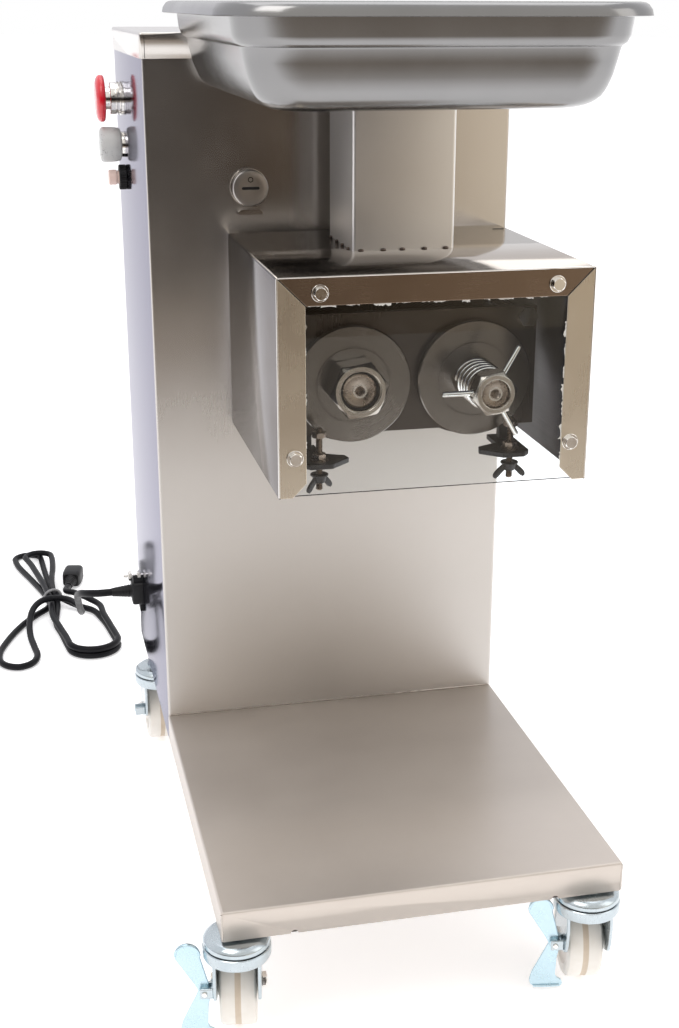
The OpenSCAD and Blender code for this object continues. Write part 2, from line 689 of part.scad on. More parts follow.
// Mushroom head on its stem
module estop_head() color("#c8141c") in_frame() {
    translate([-29, ctl_y, estop_z]) rotate([0, 90, 0]) rotate_extrude() polygon([[0, 0], [14, 0.6], [20, 2],
        [23, 4], [24, 7], [23, 9.5], [13, 10], [12, 10.5], [6, 10.5], [6, 44], [0, 44]]);
}

// Nut and contact block of the start button
module start_bezel() color("#cfcfcf") in_frame() difference() {
    union() {
        rod_x(13, -4, 0, ctl_y, start_z);
        rod_x(11, 0, sheet + 6, ctl_y, start_z);
        box([sheet + 6, 45], [ctl_y - 14, ctl_y + 14], [start_z - 18, start_z + 18]);
    }
    rod_x(5 + running, -5, 20, ctl_y, start_z);
}
// Start button under its soft grey boot
module start_button() color("#b5b5b3") in_frame() {
    translate([-27, ctl_y, start_z]) rotate([0, 90, 0]) rotate_extrude() polygon([[0, 0], [12, 0.5], [16, 3],
        [18.5, 7], [18, 12], [14, 17], [13, 19], [5, 19], [5, 42], [0, 42]]);
}

// Knurled nut of the reset button and the button itself
module reset_nut() color("#222224") in_frame() difference() {
    union() {
        rod_x(13, -8, 0, ctl_y, reset_z);
        rod_x(6, 0, sheet + 3, ctl_y, reset_z);
        box([sheet + 3, 32], [ctl_y - 10, ctl_y + 10], [reset_z - 9, reset_z + 9]);
    }
    rod_x(3 + running, -9, 20, ctl_y, reset_z);
}
module reset_button() color("#d9b7b4") in_frame() {
    rod_x(8, -19, -11.5, ctl_y, reset_z);
    rod_x(3, -12, 14, ctl_y, reset_z);
}

// Slotted quarter-turn knob on the cabinet's front
module latch_knob() color("#c5c0ba") in_frame() difference() {
    union() {
        rod_y(17, -12, -2, 97, 681);
        rod_y(5 - running, -3, 12, 97, 681);
    }
    box([89, 105], [-13, -10], [679.8, 682.2]);
}

// ---------------------------------------------------------------- mains cord

// Clamp block with its screw, and the tapered sleeve that the cord leaves through
module cable_gland() color(black) in_frame() {
    box([-13, 0], [gland_y - 15, gland_y + 15], [gland_z - 14, gland_z + 14]);
    rod_x(5, 0, 14, gland_y, gland_z);
    rod_x(2, -20, 0, gland_y - 5, gland_z + 21);
    rod_x(4.5, -14, -9, gland_y - 5, gland_z + 21);
    translate([-13, gland_y, gland_z]) rotate([0, -90, 0]) cylinder(r1 = 7, r2 = cord_d / 2 + 0.6, h = 22);
}

// Sweeps a round section along a list of points
function unit(v) = v / norm(v);
function tangent(p, i) = unit(p[min(i + 1, len(p) - 1)] - p[max(i - 1, 0)]);
function side(t) = unit(abs(t[2]) < 0.9 ? cross([0, 0, 1], t) : cross([1, 0, 0], t));
module sweep(path, r, sides) {
    m = len(path);
    points = [for (i = [0:m - 1]) let (t = tangent(path, i), u = side(t), w = cross(t, u))
        for (k = [0:sides - 1]) path[i] + r * (cos(360 * k / sides) * u + sin(360 * k / sides) * w)];
    walls = [for (i = [0:m - 2], k = [0:sides - 1]) let (a = i * sides, b = a + sides, j = (k + 1) % sides)
        each [[a + k, a + j, b + j], [a + k, b + j, b + k]]];
    caps = [[for (k = [sides - 1:-1:0]) k], [for (k = [0:sides - 1]) (m - 1) * sides + k]];
    polyhedron(points, concat(walls, caps));
}

// Smooth curve through the route's points
function between(p, i, t) = let (a = p[max(i - 1, 0)], b = p[i], c = p[i + 1], d = p[min(i + 2, len(p) - 1)])
    0.5 * (2 * b + (c - a) * t + (2 * a - 5 * b + 4 * c - d) * t * t + (3 * b - a - 3 * c + d) * t * t * t);
function smooth(p) = concat([for (i = [0:len(p) - 2], t = [0, 0.5]) between(p, i, t)], [p[len(p) - 1]]);
module cord_run() color(black) in_frame() sweep(smooth(CORD_ROUTE), cord_d / 2, cord_sides);

// Two turns of cord lying in an oval, and the folded strands that spread behind them
module cord_coil() color(black) in_frame() {
    translate([-58, 565, 0]) rotate([0, 0, 8]) linear_extrude(2 * cord_d) difference() {
        stadium(76, 119);
        stadium(76 - 4 * cord_d, 119);
    }
    translate([-110, 785, 0]) rotate([0, 0, 7]) linear_extrude(2 * cord_d) hull() {
        translate([0, -118]) circle(r = 11);
        translate([0, 84]) circle(r = 33);
    }
}
module stadium(w, straight) {
    square([w, straight], center = true);
    for (s = [-1, 1]) translate([0, s * straight / 2]) circle(d = w);
}

// Moulded plug beside the folded strands
module plug() color(black) in_frame() translate([-62, 772, 0]) rotate([0, 0, -12]) {
    translate([-14, -26, 0]) cube([28, 38, 24]);
    translate([0, -26, 12]) rotate([90, 0, 0]) cylinder(r1 = 9, r2 = 5.5, h = 24);
    for (x = [-6.35, 6.35]) translate([x - 0.75, 12, 9]) cube([1.5, 17, 6.3]);
}

cabinet_shell();
rear_panel();
lid();
inner_frame();
platform();
caster_pads();
caster_tops();
fork_fl();
fork_fr();
fork_rl();
fork_rr();
wheel_fl();
wheel_fr();
wheel_rl();
wheel_rr();
brake_fl();
brake_fr();
head_housing();
head_guard();
guard_bolts();
feed_chute();
feed_pan();
pan_spigot();
gear_housing();
gearbox_cover();
shaft_bearings();
shaft_left();
shaft_right();
gear_left();
gear_right();
blades_left();
blades_right();
disc_left();
disc_right();
lock_nut();
tension_spring();
spoke_nut();
end_plates();
tie_rods();
combs();
comb_clamps();
wing_nut_left();
wing_nut_right();
motor();
motor_mount();
motor_pulley();
driven_pulley();
drive_belt();
contactor();
estop_body();
estop_head();
start_bezel();
start_button();
reset_nut();
reset_button();
latch_knob();
cable_gland();
cord_run();
cord_coil();
plug();
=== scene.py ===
import random
from math import cos, hypot, pi, radians, sin

import bmesh
import bpy
from mathutils import Matrix, Vector


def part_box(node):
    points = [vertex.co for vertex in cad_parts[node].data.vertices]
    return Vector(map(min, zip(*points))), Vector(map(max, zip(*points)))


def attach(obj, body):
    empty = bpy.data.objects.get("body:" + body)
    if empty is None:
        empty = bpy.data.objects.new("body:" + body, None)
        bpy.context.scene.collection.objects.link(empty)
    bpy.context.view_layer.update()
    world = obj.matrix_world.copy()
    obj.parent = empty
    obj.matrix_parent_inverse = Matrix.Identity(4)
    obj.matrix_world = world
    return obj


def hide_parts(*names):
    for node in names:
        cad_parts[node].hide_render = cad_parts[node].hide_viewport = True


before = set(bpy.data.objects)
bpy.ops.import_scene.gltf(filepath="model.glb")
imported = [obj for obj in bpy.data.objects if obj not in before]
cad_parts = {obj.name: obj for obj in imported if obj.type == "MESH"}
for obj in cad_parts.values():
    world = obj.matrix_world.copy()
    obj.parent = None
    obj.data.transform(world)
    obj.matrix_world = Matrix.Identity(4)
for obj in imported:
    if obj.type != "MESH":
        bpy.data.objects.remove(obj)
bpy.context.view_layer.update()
random.seed(7)

# Lengths are in millimetres from the cabinet's front left corner at floor level, as in the CAD source
LID_LOW, LID_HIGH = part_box("lid")
SHEET = 1.5
ORIGIN = Vector((LID_LOW.x + SHEET / 1000, LID_LOW.y + SHEET / 1000, 0))
TO_FRAME = Matrix.Translation(ORIGIN) @ Matrix.Scale(0.001, 4)


def at(x, y, z):
    """A point of the machine in the row frame, in metres."""
    return TO_FRAME @ Vector((x, y, z))


def mm(point):
    """A point of the row frame in the machine's millimetres."""
    return tuple(TO_FRAME.inverted() @ Vector(point))


def span(node):
    """Lowest and highest corner of a CAD node in the machine's millimetres."""
    low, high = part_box(node)
    return mm(low), mm(high)


CAB_W, CAB_D, BASE, CAB_TOP, LIP = 356, 300, 107, 821, 135
NOTCHES = (62, 294)
HEAD_X0, HEAD_X1, HEAD_Y, HEAD_Z0, HEAD_Z1, FLANGE = 76, 350, -255, 451, 638, 24
CHUTE = (168, 262, -132, -34)
# Centres (x, z) of the two shafts and of the latch, and (y, z) of the cord's entry and of the controls
LEFT, RIGHT, LATCH = (158, 528), (270, 528), (97, 681)
ENTRY, STOP, START, RESET = (255, 180), (214, 751), (214, 704), (214, 670)
CLAMPS = {"left": (122, 1), "right": (298, -1)}
CASTERS = {"fl": (15, -361, -10), "fr": (331, -361, -10), "rl": (12, 203, 0), "rr": (331, 203, 0)}
AXLE = (26, 37.5)
CORD_D = 9.0


def add_object(name, data):
    obj = bpy.data.objects.new(name, data)
    bpy.context.scene.collection.objects.link(obj)
    return obj


# ---- camera

def add_camera():
    camera = add_object("camera", bpy.data.cameras.new("camera"))
    heading, down, roll_left = -13.03, 19.38, 0.12
    camera.location = (-0.3012, -1.4012, 0.8488)
    turn = Matrix.Rotation(radians(heading), 4, "Z")
    tilt = Matrix.Rotation(radians(90 - down), 4, "X")
    roll = Matrix.Rotation(radians(roll_left), 4, "Z")
    camera.rotation_euler = (turn @ tilt @ roll).to_euler()
    camera.data.lens = 53.1
    camera.data.sensor_width = 36
    camera.data.shift_x = -0.0093
    camera.data.shift_y = 0.019
    bpy.context.scene.camera = camera


add_camera()


# ---- node helpers

class Tree:
    """A node tree, with short calls for the nodes that the finishes and the world share."""

    def __init__(self, owner):
        owner.use_nodes = True
        self.nodes, self.links = owner.node_tree.nodes, owner.node_tree.links

    def wire(self, node, **inputs):
        """Sets a node's inputs, or links those that are given an output."""
        for key, value in inputs.items():
            socket = node.inputs[key.replace("_", " ")]
            if isinstance(value, bpy.types.NodeSocket):
                self.links.new(value, socket)
            else:
                socket.default_value = value
        return node

    def add(self, kind, output, **inputs):
        return self.wire(self.nodes.new("ShaderNode" + kind), **inputs).outputs[output]

    def split(self, vector):
        return tuple(self.wire(self.nodes.new("ShaderNodeSeparateXYZ"), Vector=vector).outputs)

    def ramp(self, value, *stops):
        node = self.wire(self.nodes.new("ShaderNodeValToRGB"), Fac=value)
        first, last = node.color_ramp.elements
        first.position, last.position = stops[0][0], stops[-1][0]
        first.color, last.color = (*stops[0][1], 1), (*stops[-1][1], 1)
        for position, colour in stops[1:-1]:
            node.color_ramp.elements.new(position).color = (*colour, 1)
        return node.outputs["Color"]


class Shader(Tree):
    """A material's node tree round its Principled shader."""

    def __init__(self, name, **sockets):
        self.material = bpy.data.materials.new(name)
        super().__init__(self.material)
        self.set(**sockets)
        self.where = self.add("TexCoord", "Object")

    def set(self, **sockets):
        self.wire(self.nodes["Principled BSDF"], **sockets)

    def mapped(self, scale=(1, 1, 1), shift=(0, 0, 0)):
        return self.add("Mapping", "Vector", Location=shift, Scale=scale, Vector=self.where)

    def noise(self, vector, scale, detail=3.0, rough=0.55):
        return self.add("TexNoise", "Fac", Scale=scale, Detail=detail, Roughness=rough, Vector=vector)

    def range(self, value, low, high, from_low=0.3, from_high=0.7):
        return self.add("MapRange", "Result", From_Min=from_low, From_Max=from_high, To_Min=low, To_Max=high,
                        Value=value)

    def sum(self, a, b, operation="ADD"):
        node = self.nodes.new("ShaderNodeMath")
        node.operation = operation
        for socket, value in zip(node.inputs, (a, b)):
            if isinstance(value, bpy.types.NodeSocket):
                self.links.new(value, socket)
            else:
                socket.default_value = value
        return node.outputs["Value"]

    def tint(self, clouds, dark, colour):
        self.set(Base_Color=self.ramp(clouds, (0.3, dark), (0.7, colour)))

    def bump(self, height, distance):
        self.set(Normal=self.add("Bump", "Normal", Distance=distance, Strength=1.0, Height=height))


# Scales per metre that stretch a pattern along one axis
ALONG = {"x": (2, 900, 900), "y": (900, 2, 900), "z": (900, 900, 2)}


def steel(name, colour, dark, rough, brush, grain, smudge, ripple, wave=0.0, metal=1.0, foot=0.0, edge=(1, 1, 1)):
    """Stainless sheet: fine brushing, soft smudges in the gloss and a slightly uneven tint."""
    s = Shader(name, Metallic=metal, Specular_Tint=(*edge, 1))
    lines = s.noise(s.mapped(ALONG[brush]), 1.0, 4)
    clouds = s.noise(s.mapped(), 9.0, 5, 0.6)
    s.tint(clouds, dark, colour)
    uneven = s.sum(s.range(lines, -grain, grain), s.range(clouds, rough - smudge, rough + smudge))
    if foot:
        # Steel near the floor is scuffed, so it mirrors less
        uneven = s.sum(uneven, s.range(s.split(s.where)[2], foot, 0.0, 0.26, 0.56))
    s.set(Roughness=uneven)
    if wave:
        lines = s.sum(lines, s.range(s.noise(s.mapped(), 5.0, 2), 0, 12 * wave, 0, 1))
    s.bump(lines, ripple)
    return s.material


def turned(name, colour, dark, rough, x, z):
    """Turned steel with fine grooves round an axis that runs front to back."""
    s = Shader(name, Metallic=1.0)
    a, _, b = s.split(s.mapped((1, 1, 1), tuple(-c for c in at(x, 0, z))))
    radius = s.sum(s.sum(s.sum(a, a, "MULTIPLY"), s.sum(b, b, "MULTIPLY")), 0.5, "POWER")
    rings = s.noise(s.add("CombineXYZ", "Vector", X=radius), 700, 2)
    clouds = s.noise(s.mapped(), 14.0, 3, 0.5)
    s.tint(clouds, dark, colour)
    s.set(Roughness=s.sum(s.range(rings, -0.02, 0.02), s.range(clouds, rough - 0.04, rough + 0.04)))
    return s.material


def mottled(s, colour, dark, rough, rougher, scale, grain, bump):
    """Cloudy tint and gloss with a fine texture, for what isn't brushed or turned."""
    clouds = s.noise(s.mapped(), scale, 5, 0.6)
    fine = s.noise(s.mapped(), grain, 3)
    s.tint(clouds, dark, colour)
    s.set(Roughness=s.sum(s.range(fine, -0.05, 0.05), s.range(clouds, rough - 0.06, rough + rougher)))
    s.bump(fine, bump)
    return s.material


def plated(name, colour, dark, rough, metallic=1.0, scale=60.0, bump=1e-5, grain=500.0):
    """Plated, painted or oxidised metal with a mottled tint."""
    return mottled(Shader(name, Metallic=metallic), colour, dark, rough, 0.08, scale, grain, bump)


def moulded(name, colour, dark, rough, grain=700.0, bump=5e-5, scatter=0.0, coat=0.0, through=0.0, gloss=0.5):
    """Moulded plastic or rubber with a fine texture and faint handling marks."""
    s = Shader(name, Metallic=0.0, Coat_Weight=coat, Coat_Roughness=0.12, Subsurface_Weight=scatter,
               Subsurface_Radius=(0.004, 0.004, 0.004), Transmission_Weight=through, Specular_IOR_Level=gloss)
    return mottled(s, colour, dark, rough, 0.06, 45, grain, bump)


MAT = {
    "cabinet": steel("cabinet_steel", (0.64, 0.61, 0.58), (0.61, 0.58, 0.55), 0.19, "z", 0.010, 0.03,
                     2e-6, 9, 0.92, foot=0.26),
    # Darker lilac copy of the cabinet steel for the side faces: a painted reflection
    "side": steel("side_steel", (0.46, 0.455, 0.50), (0.42, 0.415, 0.46), 0.11, "z", 0.008, 0.03, 1e-6, 9.0,
                  edge=(0.52, 0.515, 0.575)),
    "hood": steel("hood_steel", (0.52, 0.48, 0.44), (0.48, 0.44, 0.40), 0.13, "y", 0.012, 0.03, 2e-6, 6.0),
    "flange": steel("flange_steel", (0.66, 0.59, 0.485), (0.62, 0.55, 0.45), 0.28, "z", 0.012, 0.04, 2e-6),
    "platform": steel("platform_steel", (0.66, 0.60, 0.545), (0.61, 0.55, 0.50), 0.40, "x", 0.012, 0.04,
                      3e-6, 6, 0.6),
    "chute": steel("chute_steel", (0.84, 0.82, 0.80), (0.80, 0.78, 0.76), 0.34, "z", 0.008, 0.02,
                   1e-6, 6, 0.8),
    "pan": steel("pan_steel", (0.27, 0.268, 0.268), (0.24, 0.238, 0.238), 0.20, "x", 0.01, 0.03, 2e-6, 4.0),
    # Near-black steel for parts inside the machine: painted shade
    "inside": steel("inner_shade_steel", (0.095, 0.08, 0.072), (0.065, 0.055, 0.05), 0.30, "z", 0.03, 0.05, 6e-6),
    # Darker copy of the hood steel for the sides of the hood: painted shade
    "hood_side_shade": steel("hood_side_shade_steel", (0.25, 0.24, 0.245), (0.20, 0.185, 0.18), 0.22, "y", 0.012,
                       0.03, 2e-6, 6),
    # Dark blue-black copy of the hood steel for its inner faces: painted shade
    "hood_inside_shade": steel("hood_inner_shade_steel", (0.065, 0.072, 0.10), (0.04, 0.044, 0.066), 0.32, "y", 0.03,
                         0.04, 4e-6),
    "bright": plated("bright_steel", (0.88, 0.86, 0.83), (0.82, 0.80, 0.77), 0.10),
    "zinc": plated("zinc_plating", (0.56, 0.62, 0.65), (0.46, 0.52, 0.555), 0.22, scale=45.0, bump=6e-6),
    "pedal": plated("pedal_plating", (0.58, 0.74, 0.82), (0.50, 0.655, 0.73), 0.28, scale=40.0, bump=6e-6),
    "brown": plated("brown_shaft_steel", (0.42, 0.345, 0.285), (0.33, 0.27, 0.225), 0.28),
    "oxide": plated("black_oxide", (0.030, 0.030, 0.032), (0.014, 0.014, 0.016), 0.36, 0.5),
    "cast": plated("cast_iron_paint", (0.44, 0.46, 0.47), (0.36, 0.38, 0.39), 0.62, 0.2, 40.0, 4e-4, 260.0),
    "primer": plated("primer_paint", (0.42, 0.41, 0.39), (0.34, 0.33, 0.31), 0.6, 0.1),
    "enamel": plated("motor_enamel", (0.17, 0.22, 0.26), (0.12, 0.16, 0.19), 0.42, 0.0, 40.0, 2e-4, 300.0),
    "wheel": moulded("cast_nylon", (0.86, 0.83, 0.79), (0.80, 0.76, 0.70), 0.42, scatter=0.15),
    "band": moulded("worn_tread", (0.66, 0.56, 0.45), (0.56, 0.46, 0.36), 0.55, bump=1e-4),
    "red": moulded("red_button", (0.72, 0.012, 0.03), (0.60, 0.008, 0.02), 0.22, coat=0.5),
    "boot": moulded("grey_boot", (0.80, 0.80, 0.78), (0.68, 0.68, 0.67), 0.34, scatter=0.3, through=0.35),
    "pink": moulded("pink_button", (0.88, 0.68, 0.61), (0.80, 0.60, 0.54), 0.30, scatter=0.2),
    "black": moulded("black_plastic", (0.012, 0.012, 0.013), (0.006, 0.006, 0.007), 0.42, bump=4e-5,
                      gloss=0.25),
    "white": moulded("white_plastic", (0.78, 0.77, 0.73), (0.70, 0.69, 0.65), 0.45),
    "cord": moulded("cord_rubber", (0.009, 0.009, 0.011), (0.004, 0.004, 0.006), 0.42, 900.0, 3e-5, gloss=0.15),
    "belt": moulded("belt_rubber", (0.03, 0.03, 0.03), (0.015, 0.015, 0.015), 0.7, bump=2e-4),
    "tie": moulded("wire_tie", (0.30, 0.30, 0.31), (0.22, 0.22, 0.23), 0.4),
    "film": moulded("film_scraps", (0.86, 0.86, 0.84), (0.74, 0.72, 0.68), 0.5, through=0.15),
    "gap": moulded("shadow_gap", (0.012, 0.012, 0.012), (0.008, 0.008, 0.008), 0.8),
    # Dark brown copy of the steel for the window header: a painted reflection
    "header": steel("header_reflection_steel", (0.27, 0.20, 0.15), (0.235, 0.175, 0.13), 0.26, "x", 0.012, 0.04, 2e-6),
    "weld": plated("heat_tinted_weld", (0.24, 0.19, 0.16), (0.12, 0.10, 0.09), 0.42, scale=260.0),
    "latch": turned("latch_steel", (0.56, 0.54, 0.52), (0.50, 0.47, 0.45), 0.32, *LATCH),
}
for side, centre in (("left", LEFT), ("right", RIGHT)):
    MAT[f"disc_{side}"] = turned(f"{side}_disc_steel", (0.25, 0.225, 0.205), (0.225, 0.205, 0.19), 0.24,
                                 *centre)
    MAT[f"face_{side}"] = turned(f"{side}_nut_face", (0.62, 0.57, 0.51), (0.52, 0.47, 0.42), 0.20, *centre)


def acrylic():
    s = Shader("clear_acrylic", Base_Color=(0.93, 0.96, 0.97, 1), Metallic=0.0, IOR=1.49,
               Transmission_Weight=1)
    scuffs = s.noise(s.mapped((40, 1, 40)), 3.0, 6, 0.7)
    s.set(Roughness=s.range(scuffs, 0.0, 0.10, 0.5, 0.8))
    return s.material


MAT["guard"] = acrylic()


# ---- mesh helpers

def box(bm, x, y, z):
    corners = [bm.verts.new((x[i], y[j], z[k])) for k in (0, 1) for j in (0, 1) for i in (0, 1)]
    for face in ((0, 2, 3, 1), (4, 5, 7, 6), (0, 1, 5, 4), (2, 6, 7, 3), (0, 4, 6, 2), (1, 3, 7, 5)):
        bm.faces.new([corners[i] for i in face])


def place(axis, a, b, along):
    """A point from two coordinates across an axis and one along it."""
    return {"x": (along, a, b), "y": (a, along, b), "z": (a, b, along)}[axis]


def circle(axis, centre, r, along, steps):
    return [place(axis, centre[0] + r * cos(a), centre[1] + r * sin(a), along)
            for a in (2 * pi * k / steps for k in range(steps))]


def arc(cx, cy, r, start, end, steps=6):
    """Points of an outline from one angle to another, in degrees."""
    return [(cx + r * cos(a), cy + r * sin(a))
            for a in (radians(start + (end - start) * k / steps) for k in range(steps + 1))]


def prism(bm, outline, axis, low, high):
    """A closed outline across an axis, extruded from low to high."""
    rings = [[bm.verts.new(place(axis, a, b, t)) for a, b in outline] for t in (low, high)]
    n = len(outline)
    for i in range(n):
        j = (i + 1) % n
        bm.faces.new((rings[0][i], rings[0][j], rings[1][j], rings[1][i]))
    bm.faces.new(rings[0][::-1])
    bm.faces.new(rings[1])


def loft(bm, rings, wrap=False):
    """Joins rings of equal length with quads."""
    made = [[bm.verts.new(p) for p in ring] for ring in rings]
    n = len(made[0])
    pairs = list(zip(made, made[1:])) + ([(made[-1], made[0])] if wrap else [])
    for a, b in pairs:
        for i in range(n):
            j = (i + 1) % n
            bm.faces.new((a[i], a[j], b[j], b[i]))
    if not wrap:
        bm.faces.new(made[0][::-1])
        bm.faces.new(made[-1])


def sleeve(bm, outer, inner, low, high):
    """An upright tube between two outlines."""
    loft(bm, [[(x, y, z) for x, y in outline]
              for outline, z in ((outer, low), (outer, high), (inner, high), (inner, low))], wrap=True)


def lathe(bm, profile, axis, centre, steps=64, wrap=False):
    """Revolves (along, radius) pairs; centre holds the two coordinates across the axis."""
    loft(bm, [circle(axis, centre, max(radius, 0.02), along, steps) for along, radius in profile], wrap=wrap)


def hexagon(bm, across, axis, centre, low, high, turn=0.0, bore=0.0, chamfer=1.0, steps=96):
    """Hexagon with turned chamfers on both ends, and a bore where one is asked for."""
    flat = across / 2
    corner = flat / cos(pi / 6)
    drop = (corner - flat * 0.97) * 0.55 * chamfer
    turned_to = flat * 0.97
    slope = [(drop * k / 6, turned_to + (corner - turned_to) * k / 6) for k in range(1, 7)]
    heights = [(low, flat * 0.94), (low, turned_to)] + [(low + d, limit) for d, limit in slope]
    heights += [(high - d, limit) for d, limit in slope[::-1]] + [(high, turned_to), (high, flat * 0.94)]
    rings = []
    for along, limit in heights:
        ring = []
        for k in range(steps):
            a = 2 * pi * k / steps
            local = (a - radians(turn)) % (pi / 3) - pi / 6
            r = min(flat / cos(local), limit)
            ring.append(place(axis, centre[0] + r * cos(a), centre[1] + r * sin(a), along))
        rings.append(ring)
    if bore:
        rings += [circle(axis, centre, bore, along, steps) for along in (high, low)]
    loft(bm, rings, wrap=bool(bore))


def tube(bm, points, radius, sides):
    """A round tube along points, with frames carried along the curve so that it doesn't twist."""
    points = [Vector(p) for p in points]
    radii = radius if isinstance(radius, list) else [radius] * len(points)
    up, rings = None, []
    for i, p in enumerate(points):
        t = (points[min(i + 1, len(points) - 1)] - points[max(i - 1, 0)]).normalized()
        if up is None:
            up = t.orthogonal().normalized()
        up = (up - t * up.dot(t)).normalized()
        side = t.cross(up)
        rings.append([p + radii[i] * (cos(a) * up + sin(a) * side)
                      for a in (2 * pi * k / sides for k in range(sides))])
    loft(bm, rings)


def ball(bm, centre, radius, squash=(1, 1, 1), rings=8, sides=14):
    """A ball, or an ellipsoid when squashed, without its poles."""
    layers = []
    for k in range(1, rings):
        a = pi * k / rings
        wide = radius * sin(a)
        z = centre[2] + squash[2] * radius * cos(a)
        layers.append([(centre[0] + squash[0] * wide * cos(b), centre[1] + squash[1] * wide * sin(b), z)
                       for b in (2 * pi * i / sides for i in range(sides))])
    loft(bm, layers)


def rounded(w, l, r, cx=0.0, cy=0.0, steps=6):
    """Outline of a rectangle with rounded corners."""
    out = []
    for q, (sx, sy) in enumerate(((1, 1), (-1, 1), (-1, -1), (1, -1))):
        out += arc(cx + sx * (w / 2 - r), cy + sy * (l / 2 - r), r, 90 * q, 90 * q + 90, steps)
    return out


# Material slot that each finish belongs to
SLOTS = {finish: slot for slot, finishes in {
    "black_plastic": "black tie gap white",
    "bright_fasteners": "bright face_right",
    "brushed_stainless": "cabinet hood flange header",
    "satin_stainless": "platform inside chute weld latch",
    "white_plastic": "film",
    "clear_guard": "guard",
    "polished_stainless": "pan",
    "machined_steel": "face_left brown",
    "black_oxide": "oxide",
    "red_plastic": "red",
    "grey_boot": "boot",
    "pink_button": "pink",
    "zinc_plate": "zinc",
    "nylon_wheel": "wheel",
    "blue_pedal": "pedal",
}.items() for finish in finishes.split()}


def piece(name, bm, material, *nodes, body="machine", slot=None, bevel=0.0, segments=2, angle=35, move=None,
          more=(), thick=0):
    """Turns a bmesh in millimetres into a finished piece that rides on a body and stands for CAD nodes."""
    bmesh.ops.remove_doubles(bm, verts=bm.verts, dist=0.0005)
    bmesh.ops.recalc_face_normals(bm, faces=bm.faces)
    bm.transform(TO_FRAME @ (move or Matrix.Identity(4)))
    for face in bm.faces:
        face.smooth = True
    for edge in bm.edges:
        edge.smooth = not (len(edge.link_faces) == 2 and edge.calc_face_angle(0) > radians(angle))
    mesh = bpy.data.meshes.new(name)
    bm.to_mesh(mesh)
    bm.free()
    obj = add_object(name, mesh)
    for m in (material, *more):
        mesh.materials.append(MAT[m])
    if bevel:
        mod = obj.modifiers.new("bevel", "BEVEL")
        mod.width = bevel / 1000
        mod.segments = segments
        mod.limit_method = "ANGLE"
        mod.angle_limit = radians(angle)
        mod.harden_normals = True
    if thick:
        mod = obj.modifiers.new("sheet", "SOLIDIFY")
        mod.thickness = thick / 1000
        mod.offset = -1
        mod.material_offset = len(more)
    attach(obj, body)
    if nodes:
        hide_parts(*nodes)
    return obj


# ---- cord

def catmull(points, per=6):
    """Smooth curve through a route's points."""
    points = [Vector(p) for p in points]
    out = []
    for i in range(len(points) - 1):
        a, b = points[max(i - 1, 0)], points[i]
        c, d = points[i + 1], points[min(i + 2, len(points) - 1)]
        for k in range(per):
            t = k / per
            out.append(0.5 * (2 * b + (c - a) * t + (2 * a - 5 * b + 4 * c - d) * t * t
                              + (3 * b - a - 3 * c + d) * t ** 3))
    return out + [points[-1]]


def turned_frame(x, y, degrees):
    """Maps a point of a turned layout on the floor to the machine's millimetres."""
    c, s = cos(radians(degrees)), sin(radians(degrees))
    return lambda a, b, z: (x + a * c - b * s, y + a * s + b * c, z)


HANK = turned_frame(-110, 785, 7)
OVAL = turned_frame(-58, 565, 8)
PLUG = turned_frame(-62, 772, -12)


def bend_points(layout, a, b, radius, start, end, z, count):
    return [layout(*p, z) for p in arc(a, b, radius, start, end, count)]


RUN = [
    (-35, *ENTRY), (-50, 257, 179), (-64, 267, 176), (-72, 287, 169), (-74, 330, 150), (-72, 380, 124),
    (-69, 430, 96), (-66, 480, 70), (-63, 530, 47), (-61, 575, 30), (-64, 612, 24.5), (-76, 638, 24),
    (-96, 650, 23.5), (-115, 643, 23), (-128, 622, 19), (-134, 590, 12), (-134, 555, 6), (-130, 520, 4.5),
    (-127, 489, 4.5), (-134, 466, 4.5), (-151, 456, 4.5), (-168, 464, 4.5), (-177, 483, 4.5), (-176, 512, 4.5),
    (-167, 545, 4.5), (-154, 580, 4.5), (-139, 611, 4.5), (-122, 638, 4.5), (-105, 662, 4.5),
]


def cord_route():
    """Run, one loose bight, two folds in the bundle with two turns of the oval between, then the plug."""
    low, top = 4.5, 13.5
    out = list(RUN)
    out += [HANK(a, b, low) for a, b in ((-4.5, -96), (-9, -50), (-18, 10), (-26, 60))]
    out += bend_points(HANK, -7, 92, 20, 180, 0, low, 8)
    out += [HANK(a, b, low) for a, b in ((11, 60), (8, 10), (5.5, -50), (4.5, -96), (4.5, -118))]
    out += [OVAL(-33.5, b, low) for b in (40, 0, -35)]
    out += bend_points(OVAL, 0, -59.5, 33.5, 180, 360, low, 12)
    out += [OVAL(a, b, low) for a, b in ((33.5, -30), (33.5, 0), (32, 30))]
    out += [(-41, 634, 5), (-60, 652, 6.5), (-79, 670, 10.5)]
    out += [HANK(a, b, top) for a, b in ((4.8, -92), (9, -40), (19, 10), (25, 48))]
    out += bend_points(HANK, 7, 72, 20, 0, 180, top, 8)
    out += [HANK(a, b, top) for a, b in ((-9.5, 45), (-7, 0), (-5, -50), (-4.5, -96), (-4.5, -118))]
    out += [OVAL(a, b, top) for a, b in ((-36, 50), (-35, 0), (-33.5, -35))]
    out += bend_points(OVAL, 0, -59.5, 33.5, 180, 360, top, 12)
    out += [OVAL(33.5, b, top) for b in (-30, 0, 30)]
    out += [(-32, 633, 14), (-48, 659, 16), (-64, 680, 17), (-77, 699, 14.5)]
    return out + [PLUG(0, -50, 12), PLUG(0, -42, 12)]


